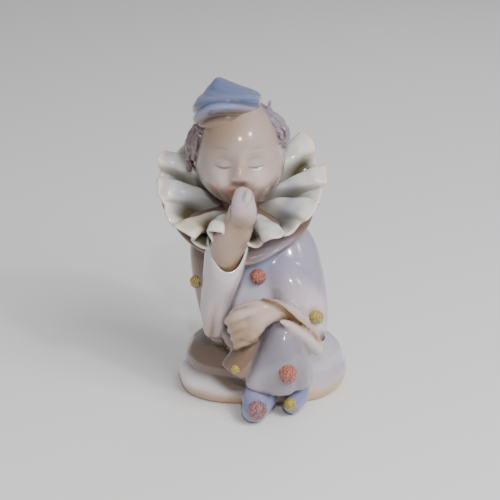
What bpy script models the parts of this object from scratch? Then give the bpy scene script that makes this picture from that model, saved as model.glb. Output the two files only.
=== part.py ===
"""Seated child clown with a finger to the lips, slip-cast and glazed porcelain.

The work is one fired piece: the rock seat, the figure, the frilled collar, the curls, the hat and
the pompoms are luted together before firing, so all the forms below are joined into one solid.
The figure faces -Y, +X is to the viewer's right and the rock stands on z = 0.
Run it with: blender --background --python part.py
"""

import math

import bmesh
import bpy
import numpy as np

# driving dimensions, in metres
FIGURE_HEIGHT = 0.163        # underside of the rock to the tip of the hat
FRILL_THICKNESS = 0.0019     # fired thickness of the frilled sheet
CAPE_THICKNESS = 0.0026      # fired thickness of the plain sheet under the frill
PORCELAIN_COLOUR = (0.72, 0.70, 0.74, 1.0)
PORCELAIN_ROUGHNESS = 0.12

# the pose and the proportions are given in 163rds of the height
SHARE = FIGURE_HEIGHT / 163
FRILL_WAVES = 11
FULL_TURN = 2 * math.pi
FACET_SHARE = 0.68           # facets kept after the forms are joined


# ways of making a form

def through(stations, count):
    """Rows read at even steps from a smooth curve that passes through every station."""
    stations = np.asarray(stations, float)
    before = 2 * stations[0] - stations[1]
    after = 2 * stations[-1] - stations[-2]
    padded = np.vstack([before, stations, after])
    step = np.linspace(0, len(stations) - 1, count)
    low = np.minimum(step.astype(int), len(stations) - 2)
    part = (step - low)[:, None]
    a, b, c, d = (padded[low + k] for k in range(4))
    cubic = -a + 3 * b - 3 * c + d
    square = 2 * a - 5 * b + 4 * c - d
    return 0.5 * (2 * b + (c - a) * part + square * part**2 + cubic * part**3)


def turns(sides):
    """Angles once round: 0 is the viewer's right and a quarter turn is the back."""
    return np.linspace(0, FULL_TURN, sides, endpoint=False)


def bump(distance, width):
    """A soft hill of height 1 at distance 0."""
    return np.exp(-((distance / width) ** 2))


def closed_mesh(name, rings):
    """A closed mesh over an array of rings of points, with a point closing each end."""
    count, sides = rings.shape[:2]
    first = rings[0].mean(0)
    last = rings[-1].mean(0)
    points = np.vstack([rings.reshape(-1, 3), first, last]) * SHARE
    start, end = count * sides, count * sides + 1
    faces = []
    for ring in range(count - 1):
        for side in range(sides):
            after = (side + 1) % sides
            low, high = ring * sides, (ring + 1) * sides
            faces.append((low + side, low + after, high + after, high + side))
    top = (count - 1) * sides
    for side in range(sides):
        after = (side + 1) % sides
        faces.append((start, after, side))
        faces.append((end, top + side, top + after))
    mesh = bpy.data.meshes.new(name)
    mesh.from_pydata(points.tolist(), [], faces)
    shape = bmesh.new()
    shape.from_mesh(mesh)
    bmesh.ops.triangulate(shape, faces=shape.faces[:])
    bmesh.ops.recalc_face_normals(shape, faces=shape.faces[:])
    shape.to_mesh(mesh)
    shape.free()
    return mesh


def stacked(stations, rings, sides, swell=None):
    """Ovals on a rising curve. A station is height, centre x, centre y, half width, half depth.

    Two leans may follow, 0 if left off: how much an oval's front, and then its right side, is
    raised per unit from its centre. swell(angle, rise) multiplies the ovals' size, where rise
    runs from 0 below to 1 on top.
    """
    stations = [(*station, 0, 0)[:7] for station in stations]
    rows = through(stations, rings).T[:, :, None]
    height, centre_x, centre_y, wide, deep, lean_front, lean_right = rows
    angle = turns(sides)[None, :]
    rise = np.linspace(0, 1, rings)[:, None]
    size = 1 if swell is None else swell(angle, rise)
    right = wide * size * np.cos(angle)
    forward = -deep * size * np.sin(angle)
    height = height + lean_front * forward + lean_right * right
    return np.stack([centre_x + right, centre_y - forward, height], axis=2)


def limb(stations, rings, sides, broad=(1, 0, 0), domes=2):
    """Ovals carried square to a smooth path, with a dome on each end.

    A station is x, y, z, half width, half thickness. The width is measured along broad.
    """
    rows = through(stations, rings)
    path, wide, thick = rows[:, :3], rows[:, 3], rows[:, 4]
    along = np.gradient(path, axis=0)
    along /= np.linalg.norm(along, axis=1)[:, None]
    dome = np.arange(1, domes + 1) / (domes + 0.6) * math.pi / 2
    reach, shrink = np.sin(dome), np.cos(dome)
    start = path[0] - along[0] * (thick[0] * reach[::-1])[:, None]
    end = path[-1] + along[-1] * (thick[-1] * reach)[:, None]
    path = np.vstack([start, path, end])
    along = np.vstack([np.repeat(along[:1], domes, 0), along, np.repeat(along[-1:], domes, 0)])
    wide = np.concatenate([wide[0] * shrink[::-1], wide, wide[-1] * shrink])
    thick = np.concatenate([thick[0] * shrink[::-1], thick, thick[-1] * shrink])
    up = np.cross(along, np.asarray(broad, float))
    up /= np.linalg.norm(up, axis=1)[:, None]
    across = np.cross(up, along)
    angle = turns(sides)[None, :, None]
    spread = across[:, None] * wide[:, None, None] * np.cos(angle)
    lift = up[:, None] * thick[:, None, None] * np.sin(angle)
    return path[:, None] + spread + lift


def ball(centre, radius, rings=5, sides=9, squash=(1, 1, 1)):
    """A ball of level rings, longer or shorter along each axis by squash."""
    rise = np.linspace(-1, 1, rings + 2)[1:-1, None] * math.pi / 2
    angle = turns(sides)[None, :]
    across = np.cos(rise)
    x = across * np.cos(angle) * squash[0]
    y = across * np.sin(angle) * squash[1]
    z = np.sin(rise) * squash[2] + 0 * x
    return np.asarray(centre, float) + radius * np.stack([x, y, z], axis=2)


# the rock that the clown sits on

def rock():
    """A low boulder with a fat rolled foot and a top that rises to the seat."""
    stations = [
        (-2, 5.5, 3.5, 42.5, 28.0),
        (3, 5.5, 3.5, 44.0, 29.5),
        (8, 5.5, 3.5, 44.0, 29.5),
        (13, 5.5, 4, 42.0, 28.0),
        (19, 5.5, 4.5, 40.5, 27.0),
        (25, 5, 5, 35.0, 24.0),
        (30, 5, 5, 24.0, 18.0),
        (32, 5, 5, 8.0, 8.0),
    ]

    def lumps(angle, rise):
        square = 0.05 * np.cos(4 * angle) * (1 - rise)
        return 1 - square + 0.025 * np.sin(3 * angle + 0.6) + 0.015 * np.sin(7 * angle)

    return stacked(stations, 10, 28, lumps)


# the jacket, its sleeves and the trousers

def jacket():
    """The round body of the jacket: a slouched back, and a hem that spreads on the rock."""
    stations = [
        (19, 5, 6, 30, 24),
        (25, 5.5, 6, 31.5, 25.5),
        (31, 6, 5, 29, 23.5),
        (42, 6, 3, 29, 25.5),
        (56, 5, 2.5, 28.5, 26.5),
        (70, 2.5, 3.5, 27, 24.5),
        (82, 0, 4.5, 23.5, 20.5),
        (92, -3.5, 4.5, 16, 14.5),
        (106, -5.5, 1, 9, 9),
    ]

    def drape(angle, rise):
        hem = np.clip(1 - 4 * rise, 0, 1)
        back = bump(np.remainder(angle, FULL_TURN) - math.pi / 2, 1.1)
        return 1 + 0.035 * hem * np.sin(9 * angle) + 0.02 * back * np.sin(7 * angle + 6 * rise)

    return stacked(stations, 12, 26, drape)


def left_sleeve():
    """The full sleeve on the viewer's right: down from the shoulder, round the elbow, forward."""
    stations = [
        (14, 4, 85, 9.5, 9.5),
        (22.5, 2, 76, 12.0, 12.5),
        (25.5, -2, 62, 12.5, 14.0),
        (26, -9, 48, 12.5, 14.0),
        (24, -19, 42, 12.0, 13.0),
        (20, -27, 43, 9.5, 11.0),
    ]
    return limb(stations, 9, 16, broad=(1, 0.2, 0))


def left_cuff():
    """The wide mouth of that sleeve over the knee, and its lip that hangs to a point outside it."""
    mouth = [
        (11, -30, 61, 4.5, 4.0),
        (19, -28.5, 57, 7.5, 7.0),
        (26.5, -25.5, 50, 9.0, 8.0),
        (31, -21.5, 42, 7.0, 7.0),
        (34, -19, 35, 4.0, 4.5),
    ]
    lip = [
        (15.5, -36, 53, 1.6, 1.4),
        (20.5, -36, 49.5, 3.0, 2.4),
        (26, -33, 42.5, 4.0, 3.0),
        (30.5, -28, 34, 3.8, 3.0),
        (32.5, -25, 29, 2.4, 2.2),
    ]
    return [limb(mouth, 7, 14, broad=(0.6, -0.2, 0.8)), limb(lip, 7, 8, broad=(0.6, 0, 0.8))]


def left_hand():
    """The forearm and the resting hand, laid across the knees with the fingers to the left."""
    palm = [
        (19, -28, 55, 5.5, 5.5),
        (12, -33, 55.5, 5.8, 5.0),
        (5, -36.2, 54, 8.0, 5.2),
        (-1, -37.0, 51, 10.4, 5.6),
        (-6, -36.5, 48, 10.6, 5.4),
    ]
    forms = [limb(palm, 7, 14, broad=(0, 0.3, 1))]
    for finger in range(4):
        spread = finger / 3
        knuckle = np.array((-5.5 + 4.0 * spread, -38.8, 54.5 - 12.5 * spread))
        middle = knuckle + (-4.5, -1.0 + 1.2 * spread, -2.6)
        tip = knuckle + (-8.0, 1.8, -5.6)
        thick = 2.9 - 0.4 * spread
        stations = [(*p, thick, thick) for p in (knuckle, middle, tip)]
        forms.append(limb(stations, 4, 7, broad=(0, 0.3, 1)))
    return forms


def right_upper_arm():
    """The upper arm behind the raised sleeve, which makes the viewer's left outline."""
    stations = [
        (-16, 4, 85, 9.5, 9.5),
        (-20, 2, 76, 10.5, 10.5),
        (-18.5, -3, 60, 10.5, 12.0),
        (-16, -7, 46, 10.0, 12.0),
        (-14, -10, 36, 9.0, 9.5),
    ]
    return limb(stations, 7, 14, broad=(1, 0, 0))


def raised_sleeve():
    """The bell sleeve of the raised arm: wide at the wrist, hanging in folds to the elbow."""
    stations = [
        (36.0, -18.5, -18, 4.0, 5.0),
        (40, -19.5, -18, 6.2, 8.0),
        (51, -19.0, -18, 7.6, 10.5),
        (63, -17.0, -18, 9.6, 12.0),
        (75, -15.0, -19, 11.0, 13.0),
        (86, -13.4, -20.5, 12.2, 13.0),
        (93, -12.6, -20.5, 11.4, 11.5, -0.35),
    ]

    def folds(angle, rise):
        front = 1.5 * math.pi
        groove = bump(angle - front - 0.1, 0.3) - 0.6 * bump(angle - front + 0.55, 0.35)
        return 1 - 0.17 * groove * (1 - 0.8 * rise)

    return stacked(stations, 11, 22, folds)


def raised_hand():
    """The forearm out of the sleeve's mouth, the fist and the finger laid to the lips."""
    forearm = [
        (-15, -24, 76, 8.5, 8.0),
        (-12.5, -27.5, 84, 9.0, 8.0),
        (-7.5, -30, 92, 7.6, 6.6),
        (-4, -31.5, 98, 6.0, 5.8),
    ]
    fist = [
        (-5, -30, 96, 6.0, 5.6),
        (-3, -31.8, 103, 6.6, 6.2),
        (-3.2, -30.8, 109.5, 5.8, 5.0),
        (-3.8, -27.2, 114.8, 4.6, 3.8),
    ]
    forms = [limb(forearm, 6, 14, broad=(1, 0, 0)), limb(fist, 7, 12, broad=(1, 0, 0))]
    for curled in range(3):
        drop = 3.6 * curled
        knuckle = (1.2, -32.4, 102 - 0.6 * drop)
        tip = (1.6 - 0.2 * curled, -28.4, 110 - drop)
        stations = [(*p, 2.5, 2.5) for p in (knuckle, tip)]
        forms.append(limb(stations, 3, 7, broad=(1, 0, 0), domes=1))
    return forms


def left_trouser_leg():
    """The bell-shaped trouser leg in front, hanging from the knee to its wide hem."""
    stations = [
        (14.5, 14, -30, 16.8, 12.6, -0.12),
        (16.0, 14, -30, 17.6, 13.4, -0.12),
        (23, 14.5, -30.5, 16.6, 13.2, -0.1),
        (31, 15.5, -31, 13.4, 12.2, -0.05),
        (40, 16, -30, 9.8, 10.6, 0),
        (47, 16, -28, 6.5, 8.2, 0),
        (51, 16, -26, 2.5, 4.0, 0),
    ]

    def folds(angle, rise):
        low = (1 - rise) ** 1.2
        crease = bump(angle - 1.5 * math.pi - 0.62, 0.2) + 0.7 * bump(angle - FULL_TURN + 0.3, 0.25)
        return 1 - 0.10 * low * crease + 0.03 * low * np.cos(5 * angle + 0.8)

    return stacked(stations, 9, 26, folds)


def right_trouser_leg():
    """The trouser leg behind it, whose hem opens low and to the viewer's left."""
    stations = [
        (-2, -20, 42, 9.0, 9.0),
        (-4.5, -23, 32, 9.0, 9.5),
        (-5.5, -24.5, 25, 8.5, 10.5),
        (-3.0, -25, 19, 9.0, 10.5),
    ]
    return limb(stations, 6, 16, broad=(1, 0, -0.5))


def thighs():
    """The laps of both legs, from the seat forward to the knees under the hand and the cuff."""
    left = [(8, 0, 36, 12, 12), (13, -16, 39, 11, 11), (15, -26, 39, 10, 10)]
    right = [(-4, 0, 34, 12, 11), (-5, -14, 37, 11, 10), (-4, -23, 38, 10, 9)]
    return [limb(left, 4, 12), limb(right, 4, 12)]


def shoes():
    """The soft shoes: the one in front points down and out, the other turns in behind it."""
    front = [(6, -24, 9.5, 8.0, 6.4), (4.0, -34, 9.2, 8.8, 7.0), (1.6, -42.5, 5.5, 6.0, 5.4)]
    rear = [(28, -22, 8.5, 6.4, 5.6), (24.5, -29, 8.0, 6.4, 5.8), (20.5, -34.5, 5.5, 4.8, 4.8)]
    return [limb(front, 5, 12), limb(rear, 5, 12, broad=(1, 1, 0))]


# the head, the curls and the hat

HEAD_CENTRE = np.array((-5.5, -3.0, 128.0))
HEAD_HALF = np.array((20.0, 21.0, 25.5))


def head():
    """A round child's head. Every feature of the face is a soft hill or hollow pushed forward."""
    rings, sides = 20, 30
    rise = np.linspace(-1, 1, rings + 2)[1:-1, None] * math.pi / 2
    around = turns(sides)
    around = (around - 0.30 * np.cos(around))[None, :]
    x = np.cos(rise) * np.cos(around)
    y = np.cos(rise) * np.sin(around)
    z = np.sin(rise) + 0 * x
    points = np.stack([x, y, z], axis=2) * HEAD_HALF
    x, y, z = points[..., 0], points[..., 1], points[..., 2]
    x = x * (1 + 0.09 * bump(z + 8, 10))
    front = np.clip(-y / HEAD_HALF[1], 0, 1)
    aside = np.abs(x)
    proud = 4.2 * bump(np.hypot(x, (z + 5.2) * 0.95), 3.4)
    proud += 1.2 * bump(np.hypot(x * 1.6, z - 0.5), 4.0)
    proud += 2.4 * bump(np.hypot(aside - 9.5, z + 9), 6.0)
    proud -= 2.3 * bump(np.hypot((aside - 7.8) * 0.75, (z - 1.0) * 1.15), 3.6)
    proud += 1.0 * bump(np.hypot((aside - 7.8) * 0.8, (z - 1.2) * 1.3), 2.2)
    proud += 1.8 * bump(np.hypot(x * 0.6, z + 13.5), 2.4)
    proud += 2.0 * bump(np.hypot(x, z + 20.5), 4.5)
    proud += 1.0 * bump(np.hypot(x * 0.5, z - 11), 7.0)
    y = y - proud * front
    return HEAD_CENTRE + np.stack([x, y, z], axis=2)


def ears():
    """Small ears low on the sides of the head."""
    offset = HEAD_HALF[0] * 1.04
    return [
        ball(HEAD_CENTRE + (side * offset, 1.0, -5.0), 4.2, 5, 8, (0.5, 0.75, 1.1))
        for side in (-1, 1)
    ]


def curls():
    """The thick curly hair behind and beside the face, under the hat."""
    angle = turns(22)[None, :]
    rise = np.linspace(-1, 1, 13)[1:-1, None] * math.pi / 2
    tufts = 1 + 0.07 * np.cos(7 * angle + 2.5 * np.sin(5 * rise)) * np.cos(rise)
    half = HEAD_HALF * (1.06, 0.86, 0.88)
    x = half[0] * tufts * np.cos(rise) * np.cos(angle)
    y = half[1] * tufts * np.cos(rise) * np.sin(angle)
    z = half[2] * np.sin(rise) + 0 * x
    forms = [HEAD_CENTRE + (0, 6.5, 2) + np.stack([x, y, z], axis=2)]
    locks = [
        [(-23, -3, 139, 2.6, 3.0), (-27.0, -4, 131, 2.8, 3.2), (-28.5, -3, 122, 2.0, 2.2)],
        [(-24, 3, 141, 3.2, 3.0), (-29, 3, 133, 3.2, 3.2), (-31, 2, 124, 2.4, 2.6)],
        [(6, -1, 147, 2.4, 2.4), (12.5, -2, 142, 3.2, 2.8), (15.8, -3, 135, 3.4, 3.2)],
        [(8, 1, 145, 1.8, 1.6), (9, 0, 150, 1.3, 1.2), (9.5, 0, 153, 0.8, 0.8)],
        [(14, 4, 134, 3.4, 3.4), (17.5, 2, 126, 3.2, 3.2), (19, 0, 117, 2.4, 2.4)],
    ]
    forms += [limb(lock, 4, 7, domes=1) for lock in locks]
    return forms


HAT_CENTRE = np.array((-11.8, 0.5, 145.5))


def hat():
    """A soft pointed hat: a pale band on the brow, a fat roll over it, and a lopsided crown."""
    stations = [
        (-4.5, 0.5, 0.5, 13.5, 15.0, 0, 0.26),
        (-3.8, 0.5, 0.5, 15.8, 17.6, 0.04, 0.26),
        (-1.6, 0.3, 0.5, 16.6, 18.4, 0.18, 0.16),
        (-0.6, 0.2, 0.5, 16.8, 18.6, 0.30, 0.08),
        (0.2, 0, 0.5, 18.0, 20.0, 0.38, 0.04),
        (2.0, 0, 0.5, 18.6, 20.4, 0.42, 0.03),
        (4.0, 0, 0.8, 18.2, 18.6, 0.42, 0.02),
        (5.0, 0, 1.0, 17.0, 16.4, 0.40, 0),
        (7.4, -0.4, 1.0, 15.8, 14.2, 0.30, -0.05),
        (11.0, -2.0, 1.0, 11.6, 10.0, 0.18, -0.10),
        (14.4, -3.8, 0.8, 6.0, 5.2, 0.08, -0.12),
        (16.8, -4.8, 0.5, 2.0, 1.8, 0, -0.10),
    ]

    def slump(angle, rise):
        shoulder = bump(angle, 0.8) + bump(angle - FULL_TURN, 0.8)
        return 1 + 0.10 * shoulder * bump(rise - 0.8, 0.14)

    return HAT_CENTRE + stacked(stations, 18, 24, slump)


# the collar

COLLAR_CENTRE = np.array((-5.5, 4.0, 98.0))
FRILL_TILT = math.radians(37)


def collar_sheet(inner, outer, fall, tilt, thickness, bands, sides):
    """A closed sheet round the neck, as rings that run out along its top and back underneath.

    outer(angle) is its reach. fall(angle, part) is how far it stands above the neck and how far
    it slides round it, with part running from 0 at the neck to 1 at the edge.
    """
    part = np.linspace(0, 1, bands)[:, None]
    angle = turns(sides)[None, :]
    reach = inner + (outer(angle) - inner) * part
    lift, slide = fall(angle, part)
    swung = angle + slide / reach
    middle = np.stack([reach * np.cos(swung), reach * np.sin(swung), lift], axis=2)
    out = np.gradient(middle, axis=0)
    along = np.roll(middle, -1, axis=1) - np.roll(middle, 1, axis=1)
    normal = np.cross(out, along)
    normal /= np.linalg.norm(normal, axis=2)[..., None]
    half = thickness / SHARE / 2
    rim = middle[-1:] + out[-1:] / np.linalg.norm(out[-1:], axis=2)[..., None] * half
    rings = np.concatenate([middle + normal * half, rim, (middle - normal * half)[::-1]])
    x, y, z = rings[..., 0], rings[..., 1], rings[..., 2]
    tilted_y = y * math.cos(tilt) - z * math.sin(tilt)
    tilted_z = y * math.sin(tilt) + z * math.cos(tilt)
    return COLLAR_CENTRE + np.stack([x, tilted_y, tilted_z], axis=2)


def frill():
    """The deep frill, whose folds grow from nothing at the neck to broad loops at the edge."""

    def phase(angle):
        return FRILL_WAVES * angle + 0.5 * np.sin(2 * angle + 1.0) + 0.4 * np.sin(5 * angle)

    def outer(angle):
        return 38.5 + 1.2 * np.cos(2 * angle) + 1.8 * np.sin(phase(angle) + 0.6)

    def fall(angle, part):
        grow = np.clip((part - 0.1) / 0.9, 0, 1) ** 0.85
        height = 6.2 + 1.2 * np.sin(3 * angle + 2)
        waves = phase(angle)
        fold = height * grow * (np.sin(waves) + 0.25 * np.cos(2 * waves))
        return 14.5 * part**0.8 + fold, -1.8 * grow * np.sin(2 * waves)

    return collar_sheet(7.0, outer, fall, FRILL_TILT, FRILL_THICKNESS, 4, FRILL_WAVES * 8)


def cape():
    """The plain wide collar under the frill, lying on the shoulders, the back and the chest."""

    def outer(angle):
        return 33.0 + 4.5 * np.cos(2 * angle)

    def fall(angle, part):
        drop = 4.0 + 11.0 * np.sin(angle) ** 2 - 4.0 * np.sin(angle)
        ripple = 1.2 * np.sin(6 * angle + 0.5)
        return part * (ripple - drop), 0 * angle * part

    return collar_sheet(7.0, outer, fall, 0.0, CAPE_THICKNESS, 3, 36)


# the pompoms

def pompoms():
    """Small rough balls on the chest, the sleeves, the trousers and the toes."""
    places = [
        ((3.5, -21.5, 69), 4.0),      # chest
        ((18, -43.5, 27), 4.8),       # front of the bell-shaped leg
        ((3.0, -45.0, 8.0), 4.9),     # toe in front
        ((19.5, -37.5, 7.2), 3.4),    # toe behind
        ((-8.5, -34, 26), 3.0),       # hem of the leg behind
        ((32, -28.5, 50.5), 3.6),     # cuff
        ((-27.0, -9, 61), 3.5),       # raised upper arm
    ]
    return [ball(centre, radius, 5, 9) for centre, radius in places]


# putting it together

def porcelain():
    """One glazed white material for the whole cast."""
    material = bpy.data.materials.new("glazed_porcelain")
    material.use_nodes = True
    shader = material.node_tree.nodes["Principled BSDF"]
    shader.inputs["Base Color"].default_value = PORCELAIN_COLOUR
    shader.inputs["Roughness"].default_value = PORCELAIN_ROUGHNESS
    shader.inputs["Metallic"].default_value = 0.0
    material.diffuse_color = PORCELAIN_COLOUR
    return material


def hidden(name, rings, collection):
    """A form that is joined into the cast, or cut from it, and not kept as an object of its own."""
    form = bpy.data.objects.new(name, closed_mesh(name, rings))
    form.hide_render = True
    form.display_type = "WIRE"
    collection.objects.link(form)
    return form


def main():
    for old in list(bpy.data.objects):
        bpy.data.objects.remove(old)
    scene = bpy.context.scene
    forms = bpy.data.collections.new("forms")
    scene.collection.children.link(forms)

    added = {
        "jacket": [jacket()],
        "left_arm": [left_sleeve()] + left_cuff() + left_hand(),
        "right_arm": [right_upper_arm(), raised_sleeve()] + raised_hand(),
        "legs": [left_trouser_leg(), right_trouser_leg()] + thighs(),
        "shoes": shoes(),
        "head": [head()] + ears(),
        "curls": curls(),
        "hat": [hat()],
        "collar": [frill(), cape()],
        "pompoms": pompoms(),
    }
    for name, rings_list in added.items():
        for number, rings in enumerate(rings_list):
            hidden(f"{name}_form_{number}", rings, forms)

    cast = bpy.data.objects.new("clown_figurine", closed_mesh("clown_figurine", rock()))
    scene.collection.objects.link(cast)
    cast.data.materials.append(porcelain())
    join = cast.modifiers.new("join_forms", "BOOLEAN")
    join.operation = "UNION"
    join.solver = "EXACT"
    join.operand_type = "COLLECTION"
    join.collection = forms

    below = stacked([(-40, 0, 0, 150, 150), (0, 0, 0, 150, 150)], 2, 4)
    ground = hidden("ground_cutter", below, scene.collection)
    trim = cast.modifiers.new("flat_underside", "BOOLEAN")
    trim.operation = "DIFFERENCE"
    trim.solver = "EXACT"
    trim.object = ground

    thin = cast.modifiers.new("even_facets", "DECIMATE")
    thin.ratio = FACET_SHARE


main()
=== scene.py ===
"""The looks of a glazed porcelain clown child on a rock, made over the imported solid.

The real work is one cast, so every piece here rides on the one body and stands for the one solid.
Forms are given in shares of the height, with the figure facing -Y and the rock standing on z = 0.
"""

import math

import bpy
import numpy as np
from bpy.props import FloatProperty, FloatVectorProperty, PointerProperty
from bpy.types import Operator, Panel, PropertyGroup
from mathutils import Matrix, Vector


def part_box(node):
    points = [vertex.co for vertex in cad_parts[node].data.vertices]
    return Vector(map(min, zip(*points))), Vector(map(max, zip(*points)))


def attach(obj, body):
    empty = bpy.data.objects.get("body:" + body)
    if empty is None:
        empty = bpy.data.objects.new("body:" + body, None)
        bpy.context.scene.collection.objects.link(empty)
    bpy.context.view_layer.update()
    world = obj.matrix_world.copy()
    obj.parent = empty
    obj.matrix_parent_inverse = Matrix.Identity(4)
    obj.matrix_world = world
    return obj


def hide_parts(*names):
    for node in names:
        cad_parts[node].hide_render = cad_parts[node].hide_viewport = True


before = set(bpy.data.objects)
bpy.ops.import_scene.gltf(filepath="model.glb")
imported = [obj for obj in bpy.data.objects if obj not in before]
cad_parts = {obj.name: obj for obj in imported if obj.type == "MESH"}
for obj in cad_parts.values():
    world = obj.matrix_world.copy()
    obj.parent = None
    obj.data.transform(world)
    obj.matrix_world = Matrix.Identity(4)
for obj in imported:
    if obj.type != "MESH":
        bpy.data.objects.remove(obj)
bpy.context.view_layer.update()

bl_info = {
    "name": "Porcelain clown figurine",
    "version": (1, 0, 0),
    "blender": (4, 5, 0),
    "location": "View3D > Sidebar > Clown",
    "description": "Builds the glazed surfaces of a seated porcelain clown figurine",
    "category": "Object",
}

NODE = "clown_figurine"
BODY = "root"
FIGURE_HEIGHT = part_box(NODE)[1].z
SHARE = FIGURE_HEIGHT / 162.5        # metres to one share of the height
FULL_TURN = 2 * math.pi
FRONT = 1.5 * math.pi                # the angle round a level ring that faces the viewer


# sizes and colours that a user would change

def length(name, description, metres):
    """A length property that is shown in the scene's units."""
    return FloatProperty(name=name, description=description, default=metres, min=0.0, unit="LENGTH")


def paint(name, description, red, green, blue):
    """A colour property."""
    return FloatVectorProperty(
        name=name, description=description, subtype="COLOR", size=3,
        default=(red, green, blue), min=0.0, max=1.0,
    )


class ClownSizes(PropertyGroup):
    """Sizes of the glazed cast and of its hand-formed trimmings."""

    cloth_voxel: length("Cloth grain", "Finest step kept where the clothes are luted", 0.00062)
    hand_voxel: length("Hand grain", "Finest step kept where the hands are luted", 0.00038)
    frill_sheet: length("Frill sheet", "Fired thickness of the frill", 0.0017)
    cape_sheet: length("Cape sheet", "Fired thickness of the plain collar", 0.0024)
    fold_height: length("Frill folds", "Height of the frill's ridges", 0.0056)
    curl_thickness: length("Curls", "Half thickness of one strand of hair", 0.0013)


class ClownColours(PropertyGroup):
    """Underglaze colours, as linear values."""

    white: paint("White", "Bare glazed clay", 0.72, 0.68, 0.68)
    frill: paint("Frill", "The frill's faint green white", 0.58, 0.585, 0.555)
    lavender: paint("Jacket", "The jacket's lavender", 0.31, 0.29, 0.38)
    dusk: paint("Trousers", "The trousers' greyer lavender", 0.24, 0.22, 0.27)
    sleeve: paint("Sleeve", "The sleeves' pinkish white", 0.57, 0.48, 0.52)
    skin: paint("Skin", "The head and the hands", 0.37, 0.275, 0.235)
    blush: paint("Blush", "The cheeks and the nose", 0.42, 0.24, 0.19)
    lips: paint("Lips", "The lips' orange red", 0.50, 0.11, 0.04)
    hair: paint("Hair", "The hair's mauve brown", 0.19, 0.13, 0.14)
    hat: paint("Hat", "The hat's soft blue", 0.112, 0.145, 0.285)
    roll: paint("Roll", "The roll's light blue", 0.195, 0.24, 0.42)
    shoes: paint("Shoes", "The shoes' blue", 0.18, 0.20, 0.36)
    rock: paint("Rock", "The rock's grey white", 0.44, 0.42, 0.47)
    # Used mostly as painted warm shade: undersides, hollows, sleeve insides and the side away from
    # the light; also the beige at the rock's foot.
    clay: paint("Foot", "The beige of the undersides", 0.40, 0.262, 0.145)
    shade: paint("Shade", "The brown grey of shaded clay", 0.135, 0.078, 0.043)
    # Also used as painted shade on the frill near the neck and under the hat's roll.
    cape: paint("Cape", "The brownish plain collar", 0.16, 0.105, 0.08)
    salmon: paint("Salmon", "The salmon pompoms", 0.50, 0.15, 0.10)
    pink: paint("Pink", "The pompom on the front toe", 0.34, 0.15, 0.16)
    # Darkens the frill's valleys and the loop's hole: pooled glaze and painted shade.
    olive_shade: paint("Olive", "The glaze pooled in the frill's hollows", 0.11, 0.10, 0.045)
    lemon: paint("Lemon", "The yellow pompoms", 0.54, 0.40, 0.07)


class ClownStage(PropertyGroup):
    """The camera and the floor."""

    elevation: FloatProperty(
        name="Elevation", description="How far the camera looks down", subtype="ANGLE",
        default=math.radians(22),
    )
    distance: length("Distance", "From the camera to what it looks at", 0.7)
    view_width: length("View width", "Width seen at that distance", 0.25)
    aim_height: length("Aim height", "Height that the camera looks at", 0.0742)
    aim_right: FloatProperty(
        name="Aim right", description="How far right of the middle the camera looks",
        default=-0.0005, unit="LENGTH",
    )
    floor: length("Floor", "Half width of the floor", 3.0)


def sizes():
    return bpy.context.scene.clown_sizes


def colour(name):
    """One of the named colours as an array."""
    return np.array(getattr(bpy.context.scene.clown_colours, name))


# profiles and forms

def cubic_blend(a, b, c, d, part):
    """The Catmull-Rom point a part of the way from b to c."""
    cubic = -a + 3 * b - 3 * c + d
    square = 2 * a - 5 * b + 4 * c - d
    return 0.5 * (2 * b + (c - a) * part + square * part**2 + cubic * part**3)


def through(stations, count):
    """Rows at even steps on a Catmull-Rom curve through every station."""
    stations = np.asarray(stations, float)
    before = 2 * stations[0] - stations[1]
    after = 2 * stations[-1] - stations[-2]
    padded = np.vstack([before, stations, after])
    step = np.linspace(0, len(stations) - 1, count)
    low = np.minimum(step.astype(int), len(stations) - 2)
    return cubic_blend(*(padded[low + k] for k in range(4)), (step - low)[:, None])


def closed_loop(points, count):
    """Rows at even steps round a closed Catmull-Rom curve through the points."""
    points = np.asarray(points, float)
    step = np.linspace(0, len(points), count, endpoint=False)
    low = step.astype(int)
    near = (points[(low + k) % len(points)] for k in (-1, 0, 1, 2))
    return cubic_blend(*near, (step - low)[:, None])


def turns(sides):
    """Angles once round: 0 is the viewer's right, a quarter turn the back."""
    return np.linspace(0, FULL_TURN, sides, endpoint=False)


def bump(distance, width):
    """A soft hill: e to the minus square of distance over width."""
    return np.exp(-((distance / width) ** 2))


def round_values(angle, degrees, values, blur, rise=0.0):
    """Values at angles round a turn, joined and blurred. Each turn adds rise to them."""
    degrees, values = np.radians(degrees), np.asarray(values, float)
    places = np.concatenate([degrees - FULL_TURN, degrees, degrees + FULL_TURN])
    heights = np.concatenate([values - rise, values, values + rise])
    angle = np.remainder(angle, FULL_TURN)
    offsets = np.linspace(-1.4, 1.4, 9) * blur
    weights = bump(offsets, blur)
    spread = [weight * np.interp(angle + offset, places, heights)
              for offset, weight in zip(offsets, weights)]
    return sum(spread) / weights.sum()


def step_up(value, low, high):
    """0 below low, 1 above high, and a smooth S between."""
    part = np.clip((value - low) / (high - low), 0, 1)
    return part * part * (3 - 2 * part)


def mixed(first, second, mask):
    """Colours from first to second as the mask goes from 0 to 1."""
    mask = np.asarray(mask, float)[..., None]
    return first + (second - first) * mask


def unit(vectors):
    return vectors / np.maximum(np.linalg.norm(vectors, axis=-1, keepdims=True), 1e-9)


def grid(x, y, z):
    """Points from coordinates that broadcast to one grid."""
    return np.stack(np.broadcast_arrays(x, y, z), axis=2)


def axes(points):
    """The x, y and z of a grid of points."""
    return np.moveaxis(points, -1, 0)


def ring_share(rings):
    """A column that runs from 0 at the first ring to 1 at the last."""
    return np.linspace(0, 1, len(rings))[:, None]


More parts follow.
